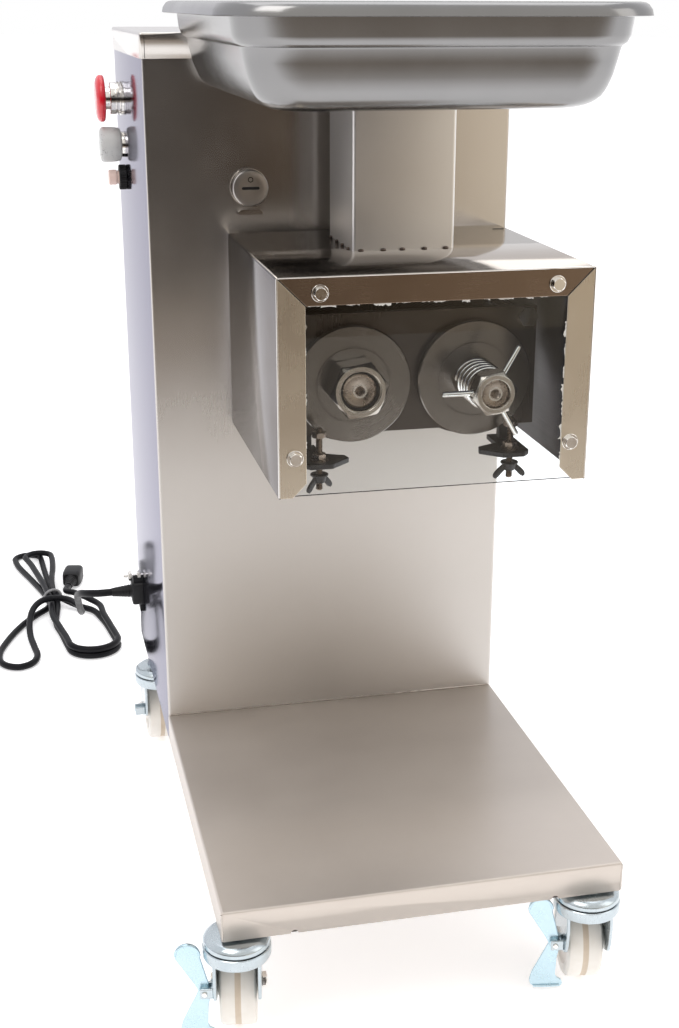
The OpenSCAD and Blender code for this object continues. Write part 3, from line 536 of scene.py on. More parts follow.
def add_cord():
    curve = bpy.data.curves.new("mains_cord", "CURVE")
    curve.dimensions = "3D"
    curve.bevel_depth = CORD_D / 2000
    curve.bevel_resolution = 5
    curve.use_fill_caps = True
    points = [at(*p) for p in catmull(cord_route(), 5)]
    spline = curve.splines.new("POLY")
    spline.points.add(len(points) - 1)
    for point, where in zip(spline.points, points):
        point.co = (*where, 1)
    spline.use_smooth = True
    curve.materials.append(MAT["cord"])
    cord = add_object("mains_cord", curve)
    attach(cord, "machine")
    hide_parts("cord_run", "cord_coil")

    bm = bmesh.new()
    outline = rounded(28, 24, 6, 0, 12, 5)
    sizes = ((-26, 0.80), (-22, 0.93), (-14, 1), (6, 1), (10.5, 0.97), (12, 0.90))
    loft(bm, [[PLUG(a * k, b, 12 + (z - 12) * k) for a, z in outline] for b, k in sizes])
    plug = piece("plug_body", bm, "black", "plug", angle=40)

    bm = bmesh.new()
    tail = [(-26, 9), (-28, 9.2)]
    for k in range(5):
        b = -29.5 - 4 * k
        tail += [(b - back, r - 0.55 * k) for back, r in ((0, 8.4), (0.8, 7.4), (1.8, 7.4), (2.6, 8))]
    tail += [(-50, 5.4)]
    tube(bm, [PLUG(0, b, 12) for b, _ in tail], [r for _, r in tail], 24)
    grip = piece("plug_sleeve", bm, "black", angle=50)

    bm = bmesh.new()
    for a in (-6.35, 6.35):
        loft(bm, [[PLUG(a + da, b, 12.1 + dz) for da, dz in
                   ((-0.75, -3.1 * k), (0.75, -3.1 * k), (0.75, 3.1 * k), (-0.75, 3.1 * k))]
                  for b, k in ((11, 1), (27.5, 1), (29, 0.75))])
    pins = piece("plug_pins", bm, "bright", bevel=0.3)

    # Wire tie round the bundle where the turns meet
    bm = bmesh.new()
    ring = []
    for k in range(28):
        t = 2 * pi * k / 28
        ring.append(HANK(0.5 + 12.5 * cos(t), -98 + 2.0 * sin(2 * t), max(2.2, 10.5 + 11.2 * sin(t))))
    tube(bm, ring + ring[:1], 2.1, 8)
    tie = piece("wire_tie", bm, "tie", angle=60)


add_cord()


def add_gland():
    y, z = ENTRY
    bm = bmesh.new()
    loft(bm, [[(x, y + a * k, z + b * k) for a, b in rounded(30, 28, 4)]
              for x, k in ((0, 1), (-11, 1), (-13, 0.92))])
    tube(bm, [(-12.5, y, z), (-14, y, z), (-36.4, y, z - 0.2)], [8.5, 7.6, 5.1], 28)
    for k in range(5):
        lathe(bm, [(-16 - 3.6 * k, 4.8), (-16 - 3.6 * k, 7.9 - 0.5 * k), (-17.6 - 3.6 * k, 7.7 - 0.5 * k),
                   (-17.6 - 3.6 * k, 4.8)], "x", (y, z), 28)
    # Lower strap that hangs below the block, and the clamp's upper lug
    loft(bm, [[(x, y + a, z - 19 + b) for a, b in rounded(18, 12, 3)] for x in (0, -4)])
    loft(bm, [[(x, y - 5 + a, z + 17 + b) for a, b in rounded(12, 10, 3)] for x in (0, -11)])
    piece("gland_block", bm, "black", "cable_gland", angle=40, bevel=0.5)
    bm = bmesh.new()
    lathe(bm, [(-22, 1.2), (-22, 1.9), (0, 1.9), (0, 0.1)], "x", (y - 5, z + 21), 16)
    for low, high in ((-16.5, -12.5), (-6, -2)):
        hexagon(bm, 10.5, "x", (y - 5, z + 21), low, high, 10)
    piece("gland_screw", bm, "bright", angle=30)


add_gland()


# ---- cabinet

def add_cabinet():
    top = LID_LOW.z * 1000 - 0.4
    bend = 3.0
    outer = [(0, CAB_D - 1.5)] + arc(bend, bend, bend, 180, 270) + arc(CAB_W - bend, bend, bend, 270, 360)
    outer += [(CAB_W, CAB_D - 1.5)]
    inner = [(CAB_W - SHEET, CAB_D - 1.5)] + arc(CAB_W - bend, bend, bend - SHEET, 360, 270)
    inner += arc(bend, bend, bend - SHEET, 270, 180) + [(SHEET, CAB_D - 1.5)]
    bm = bmesh.new()
    prism(bm, outer + inner, "z", BASE, top)
    box(bm, (SHEET, CAB_W - SHEET), (SHEET, CAB_D - SHEET), (BASE, BASE + SHEET))
    for x in (SHEET, CAB_W - SHEET - 15):
        box(bm, (x, x + 15), (CAB_D - 2 * SHEET - 0.1, CAB_D - SHEET - 0.1), (BASE + SHEET, top))
    shell = piece("cabinet_body", bm, "cabinet", "cabinet_shell", more=("side",))
    # Side faces take the darker lilac copy of the steel, a painted reflection
    for face in shell.data.polygons:
        if abs(face.normal.x) > 0.8:
            face.material_index = 1
    # Saddle strap that the latch knob's bolt passes through
    bm = bmesh.new()
    strap = [(85, 656), (109, 656), (109, 659), (106, 661), (88, 661), (85, 659)]
    prism(bm, strap, "y", -9, 0)
    lathe(bm, [(-2.2, 15), (-1.8, 17.8), (-0.2, 18.2), (0, 18.2)], "y", LATCH, 48)
    piece("latch_saddle", bm, "hood", bevel=0.8)
    bm = bmesh.new()
    lathe(bm, [(-1.2, 2), (-1.2, 17.4), (-0.1, 17.4)], "y", LATCH, 48)
    piece("latch_shadow_ring", bm, "gap")


def add_lid():
    z0 = LID_LOW.z * 1000
    bm = bmesh.new()
    box(bm, (-SHEET, CAB_W + SHEET), (-SHEET, CAB_D + SHEET), (z0, CAB_TOP))
    bottom = [f for f in bm.faces if all(v.co.z < z0 + 0.01 for v in f.verts)]
    bmesh.ops.delete(bm, geom=bottom, context="FACES_ONLY")
    piece("cabinet_lid", bm, "cabinet", "lid", bevel=2.4, segments=4, thick=1.5)
    # Folded corner seams of the skirt
    bm = bmesh.new()
    for x in (-SHEET, CAB_W + SHEET):
        for y in (-SHEET, CAB_D + SHEET):
            sx, sy = (1 if x > 0 else -1), (1 if y > 0 else -1)
            box(bm, sorted((x - sx * 5, x - sx * 4.5)), sorted((y + sy * 0.12, y - sy * 0.6)),
                (z0 + 0.3, CAB_TOP - 3))
    piece("lid_corner_seams", bm, "gap")


def add_back():
    bm = bmesh.new()
    for x in (9, CAB_W - 9):
        for k in range(5):
            z = 125 + k * 162
            lathe(bm, [(CAB_D - 0.2, 4.6), (CAB_D + 0.9, 4.6), (CAB_D + 0.9, 4), (CAB_D + 1.6, 3.6),
                       (CAB_D + 2.2, 2.2), (CAB_D + 2.3, 0.1)], "y", (x, z), 28)
    piece("rear_screws", bm, "bright", angle=30)


def add_platform():
    y0 = -378
    bm = bmesh.new()
    outline = [(0, BASE)]
    for x in NOTCHES:
        outline += arc(x, BASE, 3.2, 180, 0, 8)
    outline += [(CAB_W, BASE), (CAB_W, LIP), (0, LIP)]
    front = [bm.verts.new((x, y0, z)) for x, z in outline]
    bm.faces.new(front)
    low_left, low_right, high_right, high_left = [
        bm.verts.new((x, 0, z)) for x, z in ((0, BASE), (CAB_W, BASE), (CAB_W, LIP), (0, LIP))]
    bm.faces.new((front[0], front[-1], high_left, low_left))
    bm.faces.new((front[-3], low_right, high_right, front[-2]))
    bm.faces.new((front[-1], front[-2], high_right, high_left))
    piece("platform_tray", bm, "platform", "platform", bevel=2.2, segments=4, thick=1.5)
    # Dark half discs behind the drain notches: painted shade
    bm = bmesh.new()
    for x in NOTCHES:
        prism(bm, arc(x, BASE + 0.2, 4, 0, 180, 12), "y", y0 + 1.7, y0 + 2.2)
    piece("drain_notch_shade", bm, "inside")
    # Ground corner welds and the bead along the cabinet's foot
    bm = bmesh.new()
    for x, sx in ((0, 1), (CAB_W, -1)):
        points = [(x + sx * 0.75 + random.uniform(-0.12, 0.12), y0 + 0.75, BASE + 1 + k * 25 / 14)
                  for k in range(15)]
        tube(bm, points, [0.85 + random.uniform(0, 0.25) for _ in points], 8)
    points = [(3 + k * (CAB_W - 6) / 90, -0.2, LIP + 0.3 + random.uniform(-0.1, 0.1)) for k in range(91)]
    tube(bm, points, [0.7 + random.uniform(0, 0.35) for _ in points], 8)
    piece("platform_welds", bm, "hood", slot="satin_stainless", angle=60)


add_cabinet()
add_lid()
add_back()
add_platform()


# ---- head

def add_hood():
    bm = bmesh.new()
    corners = {(x, z): [bm.verts.new((x, y, z)) for y in (HEAD_Y, 0)]
               for x in (HEAD_X0, HEAD_X1) for z in (HEAD_Z0, HEAD_Z1)}
    order = [corners[(HEAD_X0, HEAD_Z0)], corners[(HEAD_X0, HEAD_Z1)],
             corners[(HEAD_X1, HEAD_Z1)], corners[(HEAD_X1, HEAD_Z0)]]
    for a, b in zip(order, order[1:]):
        bm.faces.new((a[0], b[0], b[1], a[1]))
    # The inner faces of the sheet take the dark blue-black copy of the hood steel: painted shade
    hood = piece("hood_shell", bm, "hood", "head_housing", bevel=2.2, segments=4, thick=1.5,
                 more=("hood_side_shade", "hood_inside_shade"))
    # Side faces of the hood take the darker copy of its steel: painted shade
    for face in hood.data.polygons:
        face.material_index = 1 if abs(face.normal.x) > 0.8 else 0

    bm = bmesh.new()
    for x0, sx in ((HEAD_X0, 1), (HEAD_X1, -1)):
        leg = [(x0, HEAD_Z0), (x0 + sx * (FLANGE - 12), HEAD_Z0), (x0 + sx * FLANGE, HEAD_Z0 + 12),
               (x0 + sx * FLANGE, HEAD_Z1 - FLANGE - 0.25), (x0, HEAD_Z1 - 0.25)]
        prism(bm, leg, "y", HEAD_Y - 0.02, HEAD_Y + SHEET)
    piece("window_legs", bm, "flange", bevel=0.6)
    # The header takes the dark brown copy of the steel, a painted reflection
    bm = bmesh.new()
    header = [(HEAD_X0 + 0.5, HEAD_Z1), (HEAD_X1 - 0.5, HEAD_Z1), (HEAD_X1 - FLANGE - 0.5, HEAD_Z1 - FLANGE),
              (HEAD_X0 + FLANGE + 0.5, HEAD_Z1 - FLANGE)]
    prism(bm, header, "y", HEAD_Y - 0.02, HEAD_Y + SHEET)
    piece("window_header", bm, "header", bevel=0.6)
    # Dark mitre lines, and a dark patch of painted shade over the oblong hole in the top
    bm = bmesh.new()
    for x0, sx in ((HEAD_X0, 1), (HEAD_X1, -1)):
        a, b = (x0 + sx * 0.6, HEAD_Z1 - 0.7), (x0 + sx * (FLANGE - 0.4), HEAD_Z1 - FLANGE + 0.2)
        prism(bm, [(a[0], a[1]), (a[0] + sx * 0.55, a[1]), (b[0] + sx * 0.55, b[1]), (b[0], b[1])],
              "y", HEAD_Y - 0.1, HEAD_Y + 1.2)
    prism(bm, rounded(12, 3, 1.4, 339, -25.5, 4), "z", HEAD_Z1 - 1.4, HEAD_Z1 + 0.08)
    piece("mitre_lines", bm, "gap")
    # Bright lines along the front fold of the hood: a painted highlight
    bm = bmesh.new()
    for a, b in (((HEAD_X0 + 1, HEAD_Z1 - 0.4), (HEAD_X1 - 1, HEAD_Z1 - 0.4)),
                 ((HEAD_X0 + 0.4, HEAD_Z1 - 1), (HEAD_X0 + 0.4, HEAD_Z0 + 1)),
                 ((HEAD_X1 - 0.4, HEAD_Z1 - 1), (HEAD_X1 - 0.4, HEAD_Z0 + 1))):
        tube(bm, [(a[0], HEAD_Y + 0.5, a[1]), (b[0], HEAD_Y + 0.5, b[1])], 0.75, 10)
    piece("hood_fold_highlight", bm, "bright", slot="brushed_stainless", angle=60)


def add_guard_bolts():
    bm = bmesh.new()
    for x, z in ((112, 624.5), (316, 624.5), (90, 486), (334, 486)):
        lathe(bm, [(HEAD_Y - 0.05, 7.2), (HEAD_Y - 1.1, 7.2), (HEAD_Y - 1.3, 6.9), (HEAD_Y - 1.3, 0.1)],
              "y", (x, z), 40)
        hexagon(bm, 10, "y", (x, z), HEAD_Y - 5.3, HEAD_Y - 1.3, random.uniform(0, 60))
        lathe(bm, [(HEAD_Y, 2.95), (HEAD_Y + 12.6, 2.95), (HEAD_Y + 13, 2.4), (HEAD_Y + 13, 0.1)],
              "y", (x, z), 20)
        hexagon(bm, 10, "y", (x, z), HEAD_Y + 5.6, HEAD_Y + 10.6, random.uniform(0, 60))
    piece("window_bolts", bm, "bright", "guard_bolts", angle=25)


def add_film_scraps():
    """Torn bits of protective film left along the window's edge."""
    bm = bmesh.new()
    inner_x0, inner_x1, inner_z = HEAD_X0 + FLANGE, HEAD_X1 - FLANGE, HEAD_Z1 - FLANGE
    y = HEAD_Y + 0.75

    def scrap(x, z, dx, dz, reach):
        n = 6
        edge = [(x + dx * k / n, z + dz * k / n) for k in range(n + 1)]
        across = (-dz, dx)
        size = hypot(dx, dz)
        torn = [(a + across[0] / size * reach * random.uniform(0.15, 1),
                 b + across[1] / size * reach * random.uniform(0.15, 1)) for a, b in edge[::-1]]
        prism(bm, edge + torn, "y", y + random.uniform(-0.2, 0.1), y + 0.3)

    for k in range(13):
        x = inner_x0 + 12 + k * (inner_x1 - inner_x0 - 30) / 12 + random.uniform(-6, 6)
        scrap(x, inner_z + 0.3, -random.uniform(5, 15), random.uniform(-0.4, 0.4), random.uniform(1, 3))
    for k in range(7):
        z = HEAD_Z0 + 22 + k * 18 + random.uniform(-4, 4)
        scrap(inner_x1 + 0.4, z, 0, random.uniform(6, 14), random.uniform(1.2, 3.4))
    for k in range(3):
        z = HEAD_Z0 + 40 + k * 38 + random.uniform(-4, 4)
        scrap(inner_x0 - 0.4, z + 10, 0, -random.uniform(5, 10), random.uniform(0.8, 2))
    piece("film_scraps", bm, "film", angle=60)


def add_guard():
    bm = bmesh.new()
    y = HEAD_Y + SHEET
    outline = rounded(HEAD_X1 - HEAD_X0 - 6, HEAD_Z1 - HEAD_Z0 - 4, 2.5, (HEAD_X0 + HEAD_X1) / 2,
                      (HEAD_Z0 + HEAD_Z1) / 2 - 1, 5)
    prism(bm, outline, "y", y + 0.05, y + 4)
    piece("guard_sheet", bm, "guard", "head_guard", bevel=0.25, segments=1)


def add_chute():
    x0, x1, y0, y1 = CHUTE
    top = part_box("feed_chute")[1].z * 1000
    middle = (x0 + x1) / 2, (y0 + y1) / 2
    bm = bmesh.new()
    sleeve(bm, rounded(x1 - x0, y1 - y0, 3, *middle), rounded(x1 - x0 - 3, y1 - y0 - 3, 1.6, *middle), 596, top)
    piece("chute_tube", bm, "chute", "feed_chute", angle=40)
    bm = bmesh.new()
    for k in range(5):
        ball(bm, (x0 + 8 + k * 19.5 + random.uniform(-1.5, 1.5), y0 - 1, HEAD_Z1 + 0.7), 2.1,
             (1.3, 0.9, 0.55))
    for k in range(4):
        for x in (x1 + 1, x0 - 1):
            ball(bm, (x, y0 + 14 + k * 24 + random.uniform(-2, 2), HEAD_Z1 + 0.6), 1.9, (0.9, 1.4, 0.55))
    piece("chute_welds", bm, "weld", angle=60)


add_hood()
add_guard_bolts()
add_film_scraps()
add_guard()
add_chute()


def add_pan():
    pan_low, pan_high = span("feed_pan")
    cx, cy = (pan_low[0] + pan_high[0]) / 2, (pan_low[1] + pan_high[1]) / 2
    w, l = pan_high[0] - pan_low[0], pan_high[1] - pan_low[1]
    spigot = span("pan_spigot")
    z0, rim = spigot[1][2] - 1.2, pan_high[2]
    t = 1.2

    def ring(inset, r, z):
        return [(x, y, z) for x, y in rounded(w - 2 * inset, l - 2 * inset, r, cx, cy, 12)]

    hole = [((spigot[0][i] + spigot[1][i]) / 2, spigot[1][i] - spigot[0][i]) for i in (0, 1)]

    def mouth(z):
        return [(x, y, z) for x, y in rounded(hole[0][1], hole[1][1], 2, hole[0][0], hole[1][0], 12)]

    outside = [(54, 24, 0), (50, 25, 0.3), (46, 26, 1), (42, 28, 2.2), (38, 30, 4), (35, 31.5, 6.2),
               (32, 33, 9), (30, 34.5, 12.2), (28, 36, 16), (26.5, 37, 20), (25, 38, 24), (22.5, 40, 34),
               (20.4, 41.6, 43), (19.6, 42, 44.6), (17, 44.4, 46.2), (16, 45, 47.4), (14, 47, 52)]
    upper = [(12, 48, 69), (11.2, 48.6, 71.4), (9, 50, 73), (7, 52, 73), (5, 54, 72), (2.6, 55.2, 68.5),
             (1.4, 56, 65)]
    back = [(0, 57, 65.4), (0.9, 56.4, 69.6), (3.4, 55, 73.2), (5.4, 54, 74.4), (9, 51, 75), (12.2, 48.6, 74),
            (13.2, 48, 69)]
    inside = [(i + t, max(r - 1, 2), h + 0.8) for i, r, h in outside[::-1][:-3]]
    inside += [(46 + t, 25, 2.2), (50 + t, 24, 1.5), (54 + t, 23, t)]
    scale = (rim - z0) / 75
    rings = [ring(i, r, z0 + h * scale) for i, r, h in outside + upper + back + inside]
    rings = [mouth(z0)] + rings + [mouth(z0 + t)]
    bm = bmesh.new()
    loft(bm, rings, wrap=True)
    piece("pan_shell", bm, "pan", "feed_pan", body="pan", angle=28)
    bm = bmesh.new()
    outer = rounded(hole[0][1], hole[1][1], 2, hole[0][0], hole[1][0], 5)
    inner = rounded(hole[0][1] - 2.4, hole[1][1] - 2.4, 1.2, hole[0][0], hole[1][0], 5)
    sleeve(bm, outer, inner, spigot[0][2], z0 + t)
    piece("pan_outlet", bm, "pan", "pan_spigot", body="pan", angle=40)


add_pan()


# ---- cutting unit

def add_discs():
    for side, centre in (("left", LEFT), ("right", RIGHT)):
        bm = bmesh.new()
        lathe(bm, [(-170, 15.2), (-170, 51.6), (-170.9, 52.5), (-177.1, 52.5), (-178, 51.6), (-178, 34.2),
                   (-177.6, 33.8), (-177.6, 33.2), (-178, 32.8), (-178, 15.2)], "y", centre, 128, wrap=True)
        piece(f"pressure_disc_{side}", bm, f"disc_{side}", f"disc_{side}", body=f"cutter_{side}",
              slot="satin_stainless", angle=30)


def add_lock_nut():
    bm = bmesh.new()
    hexagon(bm, 47, "y", LEFT, -204.5, -178.1, 8, bore=17.6, chamfer=1.5, steps=144)
    lathe(bm, [(-204.2, 18.4), (-205.6, 18.4), (-206, 18.9), (-206, 22.2), (-205.5, 22.8), (-204.2, 23)],
          "y", LEFT, 96, wrap=True)
    piece("left_nut", bm, "face_left", "lock_nut", body="cutter_left", angle=25)
    bm = bmesh.new()
    lathe(bm, [(-178.2, 15.05), (-178.2, 17.5), (-199.5, 17.5), (-199.5, 15.05)], "y", LEFT, 64, wrap=True)
    piece("left_nut_gap", bm, "gap", body="cutter_left")


def shaft_end(name, centre, front, r, body, node):
    bm = bmesh.new()
    rear = span(node)[1][1]
    lathe(bm, [(front + 5, 0.4), (front + 4.4, 1.2), (front + 1.2, 3.4), (front + 0.2, 4.4), (front, 4.8),
               (front, r - 1.6), (front + 0.4, r - 1), (front + 1.4, r), (-177.4, r), (-177.4, 15), (-3, 15),
               (-3, 12.5), (rear, 12.5), (rear, 0.4)], "y", centre, 72)
    piece(name, bm, "brown", node, body=body, angle=28)
    bm = bmesh.new()
    lathe(bm, [(front - 0.02, 4.9), (front - 0.02, 6.2), (front + 0.2, 6.2), (front + 0.2, 4.9)],
          "y", centre, 48, wrap=True)
    piece(name + "_rim", bm, "bright", body=body, slot="machined_steel")


def add_spring():
    x, z = RIGHT
    turns, low, high = 4.5, -218.5, -180.5
    steps = 200
    bm = bmesh.new()
    tube(bm, [(x + 18 * cos(2 * pi * turns * k / steps), low + (high - low) * k / steps,
               z + 18 * sin(2 * pi * turns * k / steps)) for k in range(steps + 1)], 2.0, 12)
    piece("nut_spring", bm, "bright", "tension_spring", body="cutter_right", angle=60)


def add_spoke_nut():
    x, z = RIGHT
    bm = bmesh.new()
    hexagon(bm, 36, "y", RIGHT, -239, -221, 10, bore=12.6, chamfer=1.6, steps=144)
    lathe(bm, [(-238.5, 13), (-239.8, 13), (-240, 13.4), (-240, 16.8), (-239.6, 17.4), (-238.5, 17.6)],
          "y", RIGHT, 96, wrap=True)
    piece("right_nut", bm, "face_right", "spoke_nut", body="tension_nut", angle=25)
    bm = bmesh.new()
    for degrees in (60, 180, -60):
        c, s = cos(radians(degrees)), sin(radians(degrees))
        reach = ((15, 2.5), (43.5, 2.5), (45.2, 2.2), (46, 1.2))
        tube(bm, [(x + c * d, -230, z + s * d) for d, _ in reach], [r for _, r in reach], 20)
        ball(bm, (x + c * 17.2, -230, z + s * 17.2), 3.4)
    piece("nut_spokes", bm, "bright", body="tension_nut", angle=40)


def add_wing_nut(side, turn):
    x, y, top = CLAMPS[side][0], -200, 455
    bm = bmesh.new()
    lathe(bm, [(top, 3.1), (top, 7.4), (top - 0.5, 8), (top - 1.6, 8), (top - 2.2, 6.4), (top - 7.2, 5.4),
               (top - 8, 4.6), (top - 8, 3.1)], "z", (x, y), 40, wrap=True)
    for s in (0, 180):
        c, d = cos(radians(turn + s)), sin(radians(turn + s))
        spine = [(4.4, 4.4), (7.6, 7), (10.8, 10), (13.6, 12.2), (15.2, 12.8)]
        half = (3, 3.4, 3.8, 3.2, 1.4)
        loft(bm, [[(x + c * r + d * t * 1.5, y + d * r - c * t * 1.5, top - h + k * w)
                   for t, k in ((-0.7, -1), (0.7, -1), (1, 0), (0.7, 1), (-0.7, 1), (-1, 0))]
                  for (r, h), w in zip(spine, half)])
    piece(f"wing_nut_{side}_piece", bm, "oxide", f"wing_nut_{side}", body=f"clamp_nut_{side}", angle=45)


def add_clamps():
    bm = bmesh.new()
    for x, m in CLAMPS.values():
        outline = [(-16, -150), (-16, -206), (-10, -213), (10, -213), (28, -196), (26, -188), (6, -178),
                   (6, -150)]
        prism(bm, [(x + m * a, b) for a, b in outline], "z", 462, 467)
        box(bm, sorted((x - m * 14, x)), (-167.9, -160.1), (467, 481))
    piece("clamp_brackets", bm, "oxide", "comb_clamps", bevel=0.9, segments=3)
    bm = bmesh.new()
    for x, _ in CLAMPS.values():
        profile = [(440, 0.1), (440, 2.2)]
        z = 440.6
        while z < 496:
            profile += [(z, 2.45), (z + 0.5, 3)]
            z += 1.0
        profile += [(496.6, 2.2), (497, 0.1)]
        lathe(bm, profile, "z", (x, -200), 20)
        lathe(bm, [(467, 3), (467, 8), (468.5, 8), (468.5, 3)], "z", (x, -200), 40, wrap=True)
        for low in (468.6, 488):
            hexagon(bm, 11.3, "z", (x, -200), low, low + 5, random.uniform(0, 60))
    piece("clamp_studs", bm, "brown", slot="black_oxide", angle=30)


add_discs()
add_lock_nut()
shaft_end("left_shaft_piece", LEFT, -203, 15, "cutter_left", "shaft_left")
shaft_end("right_shaft_piece", RIGHT, -238, 12.5, "cutter_right", "shaft_right")
add_spring()
add_spoke_nut()
add_wing_nut("left", 35)
add_wing_nut("right", 5)
add_clamps()


# ---- controls

def knurled(bm, r, low, high, axis, centre, bore, teeth, depth):
    """A ring with a knurled edge."""
    steps = teeth * 4
    rings = []
    for along, scale in ((low, 0.93), (low + 0.6, 1), (high - 0.6, 1), (high, 0.93)):
        reach = [r * scale - (depth if k % 4 in (2, 3) else 0) for k in range(steps)]
        rings.append([place(axis, centre[0] + q * cos(2 * pi * k / steps), centre[1] + q * sin(2 * pi * k / steps),
                            along) for k, q in enumerate(reach)])
    rings += [circle(axis, centre, bore, along, steps) for along in (high, low)]
    loft(bm, rings, wrap=True)


def add_controls():
    bm = bmesh.new()
    lathe(bm, [(-29, 0.1), (-29, 13.5), (-28.6, 17), (-27.6, 20.4), (-26.2, 22.6), (-24.6, 23.8), (-22.6, 24),
               (-20.8, 23.7), (-19.6, 22.6), (-19.2, 20.5), (-19.1, 13.6), (-18.6, 12.4), (-18.6, 6), (-6, 6),
               (14, 5.9), (14, 0.1)], "x", STOP, 96)
    piece("stop_mushroom", bm, "red", "estop_head", body="estop", angle=40)
    bm = bmesh.new()
    lathe(bm, [(-18.5, 6.1), (-18.5, 12.1), (-6.6, 12.1), (-6.6, 6.1)], "x", STOP, 80, wrap=True)
    piece("stop_neck", bm, "bright", body="estop", angle=40)
    bm = bmesh.new()
    lathe(bm, [(-14.2, 12.6), (-14.2, 16), (-13.6, 16.9), (-8.4, 16.9), (-7.8, 16.2), (-7.2, 16.2),
               (-6.6, 16.9), (-4.2, 16.9), (-3.6, 16.3), (-3, 17.5), (-0.1, 17.6), (-0.1, 12.6)],
          "x", STOP, 96, wrap=True)
    piece("stop_collar", bm, "bright", "estop_body", angle=30)
    bm = bmesh.new()
    for (y, z), depth, w, h in ((STOP, 50, 15, 20), (START, 45, 14, 18)):
        lathe(bm, [(0, 10.9), (7.5, 10.9), (7.5, 6.2), (0, 6.2)], "x", (y, z), 48, wrap=True)
        box(bm, (7.5, depth), (y - w, y + w), (z - h, z + h))
    piece("contact_blocks", bm, "white", bevel=0.8)

    bm = bmesh.new()
    lathe(bm, [(-26.8, 0.1), (-26.7, 11), (-26.3, 14.6), (-25.3, 16.8), (-23.6, 18), (-21, 18.3), (-15, 18.1),
               (-10, 17.7), (-6.4, 17), (-5.2, 16.2), (-4.7, 15.4), (-4.7, 14.5), (-5.2, 14.3), (-10.4, 14.3),
               (-12, 12.6), (-12, 5), (15, 4.9), (15, 0.1)], "x", START, 80)
    piece("start_boot", bm, "boot", "start_button", body="start", angle=50)
    bm = bmesh.new()
    lathe(bm, [(-4.4, 5.6), (-4.4, 12.4), (-3.8, 13.4), (-1.2, 13.6), (-0.1, 13.6), (-0.1, 5.6)],
          "x", START, 72, wrap=True)
    piece("start_collar", bm, "bright", "start_bezel", angle=30)

    bm = bmesh.new()
    lathe(bm, [(-19, 0.1), (-19, 6.8), (-18.4, 7.8), (-17.4, 8), (-11, 8), (-10.7, 7.7), (-10.6, 7),
               (-5.2, 7), (-5, 2.9), (14, 2.9), (14, 0.1)], "x", RESET, 56)
    piece("reset_cap", bm, "pink", "reset_button", body="reset")
    bm = bmesh.new()
    knurled(bm, 13, -8, -0.1, "x", RESET, 7.5, 30, 0.7)
    piece("reset_ring", bm, "black", "reset_nut", angle=30)


def add_latch():
    bm = bmesh.new()
    lathe(bm, [(-2.1, 0.1), (-2.1, 16.6), (-2.6, 17), (-11, 17), (-11.8, 16.3), (-12, 15.6), (-12, 10.4),
               (-11.8, 0.1)], "y", LATCH, 96)
    lathe(bm, [(-2.2, 4.9), (12, 4.9), (12, 0.1)], "y", LATCH, 32)
    piece("latch_disc", bm, "latch", "latch_knob", body="latch", angle=30)
    bm = bmesh.new()
    prism(bm, rounded(17, 2.6, 1.2, 97, 681, 4), "y", -12.1, -11.6)
    lathe(bm, [(-12.05, 2.6), (-12.15, 2.6), (-12.15, 1.8), (-12.05, 1.8)], "y", (97, 689), 20, wrap=True)
    piece("latch_slot", bm, "gap", body="latch", slot="satin_stainless")


add_controls()
add_latch()


# ---- casters

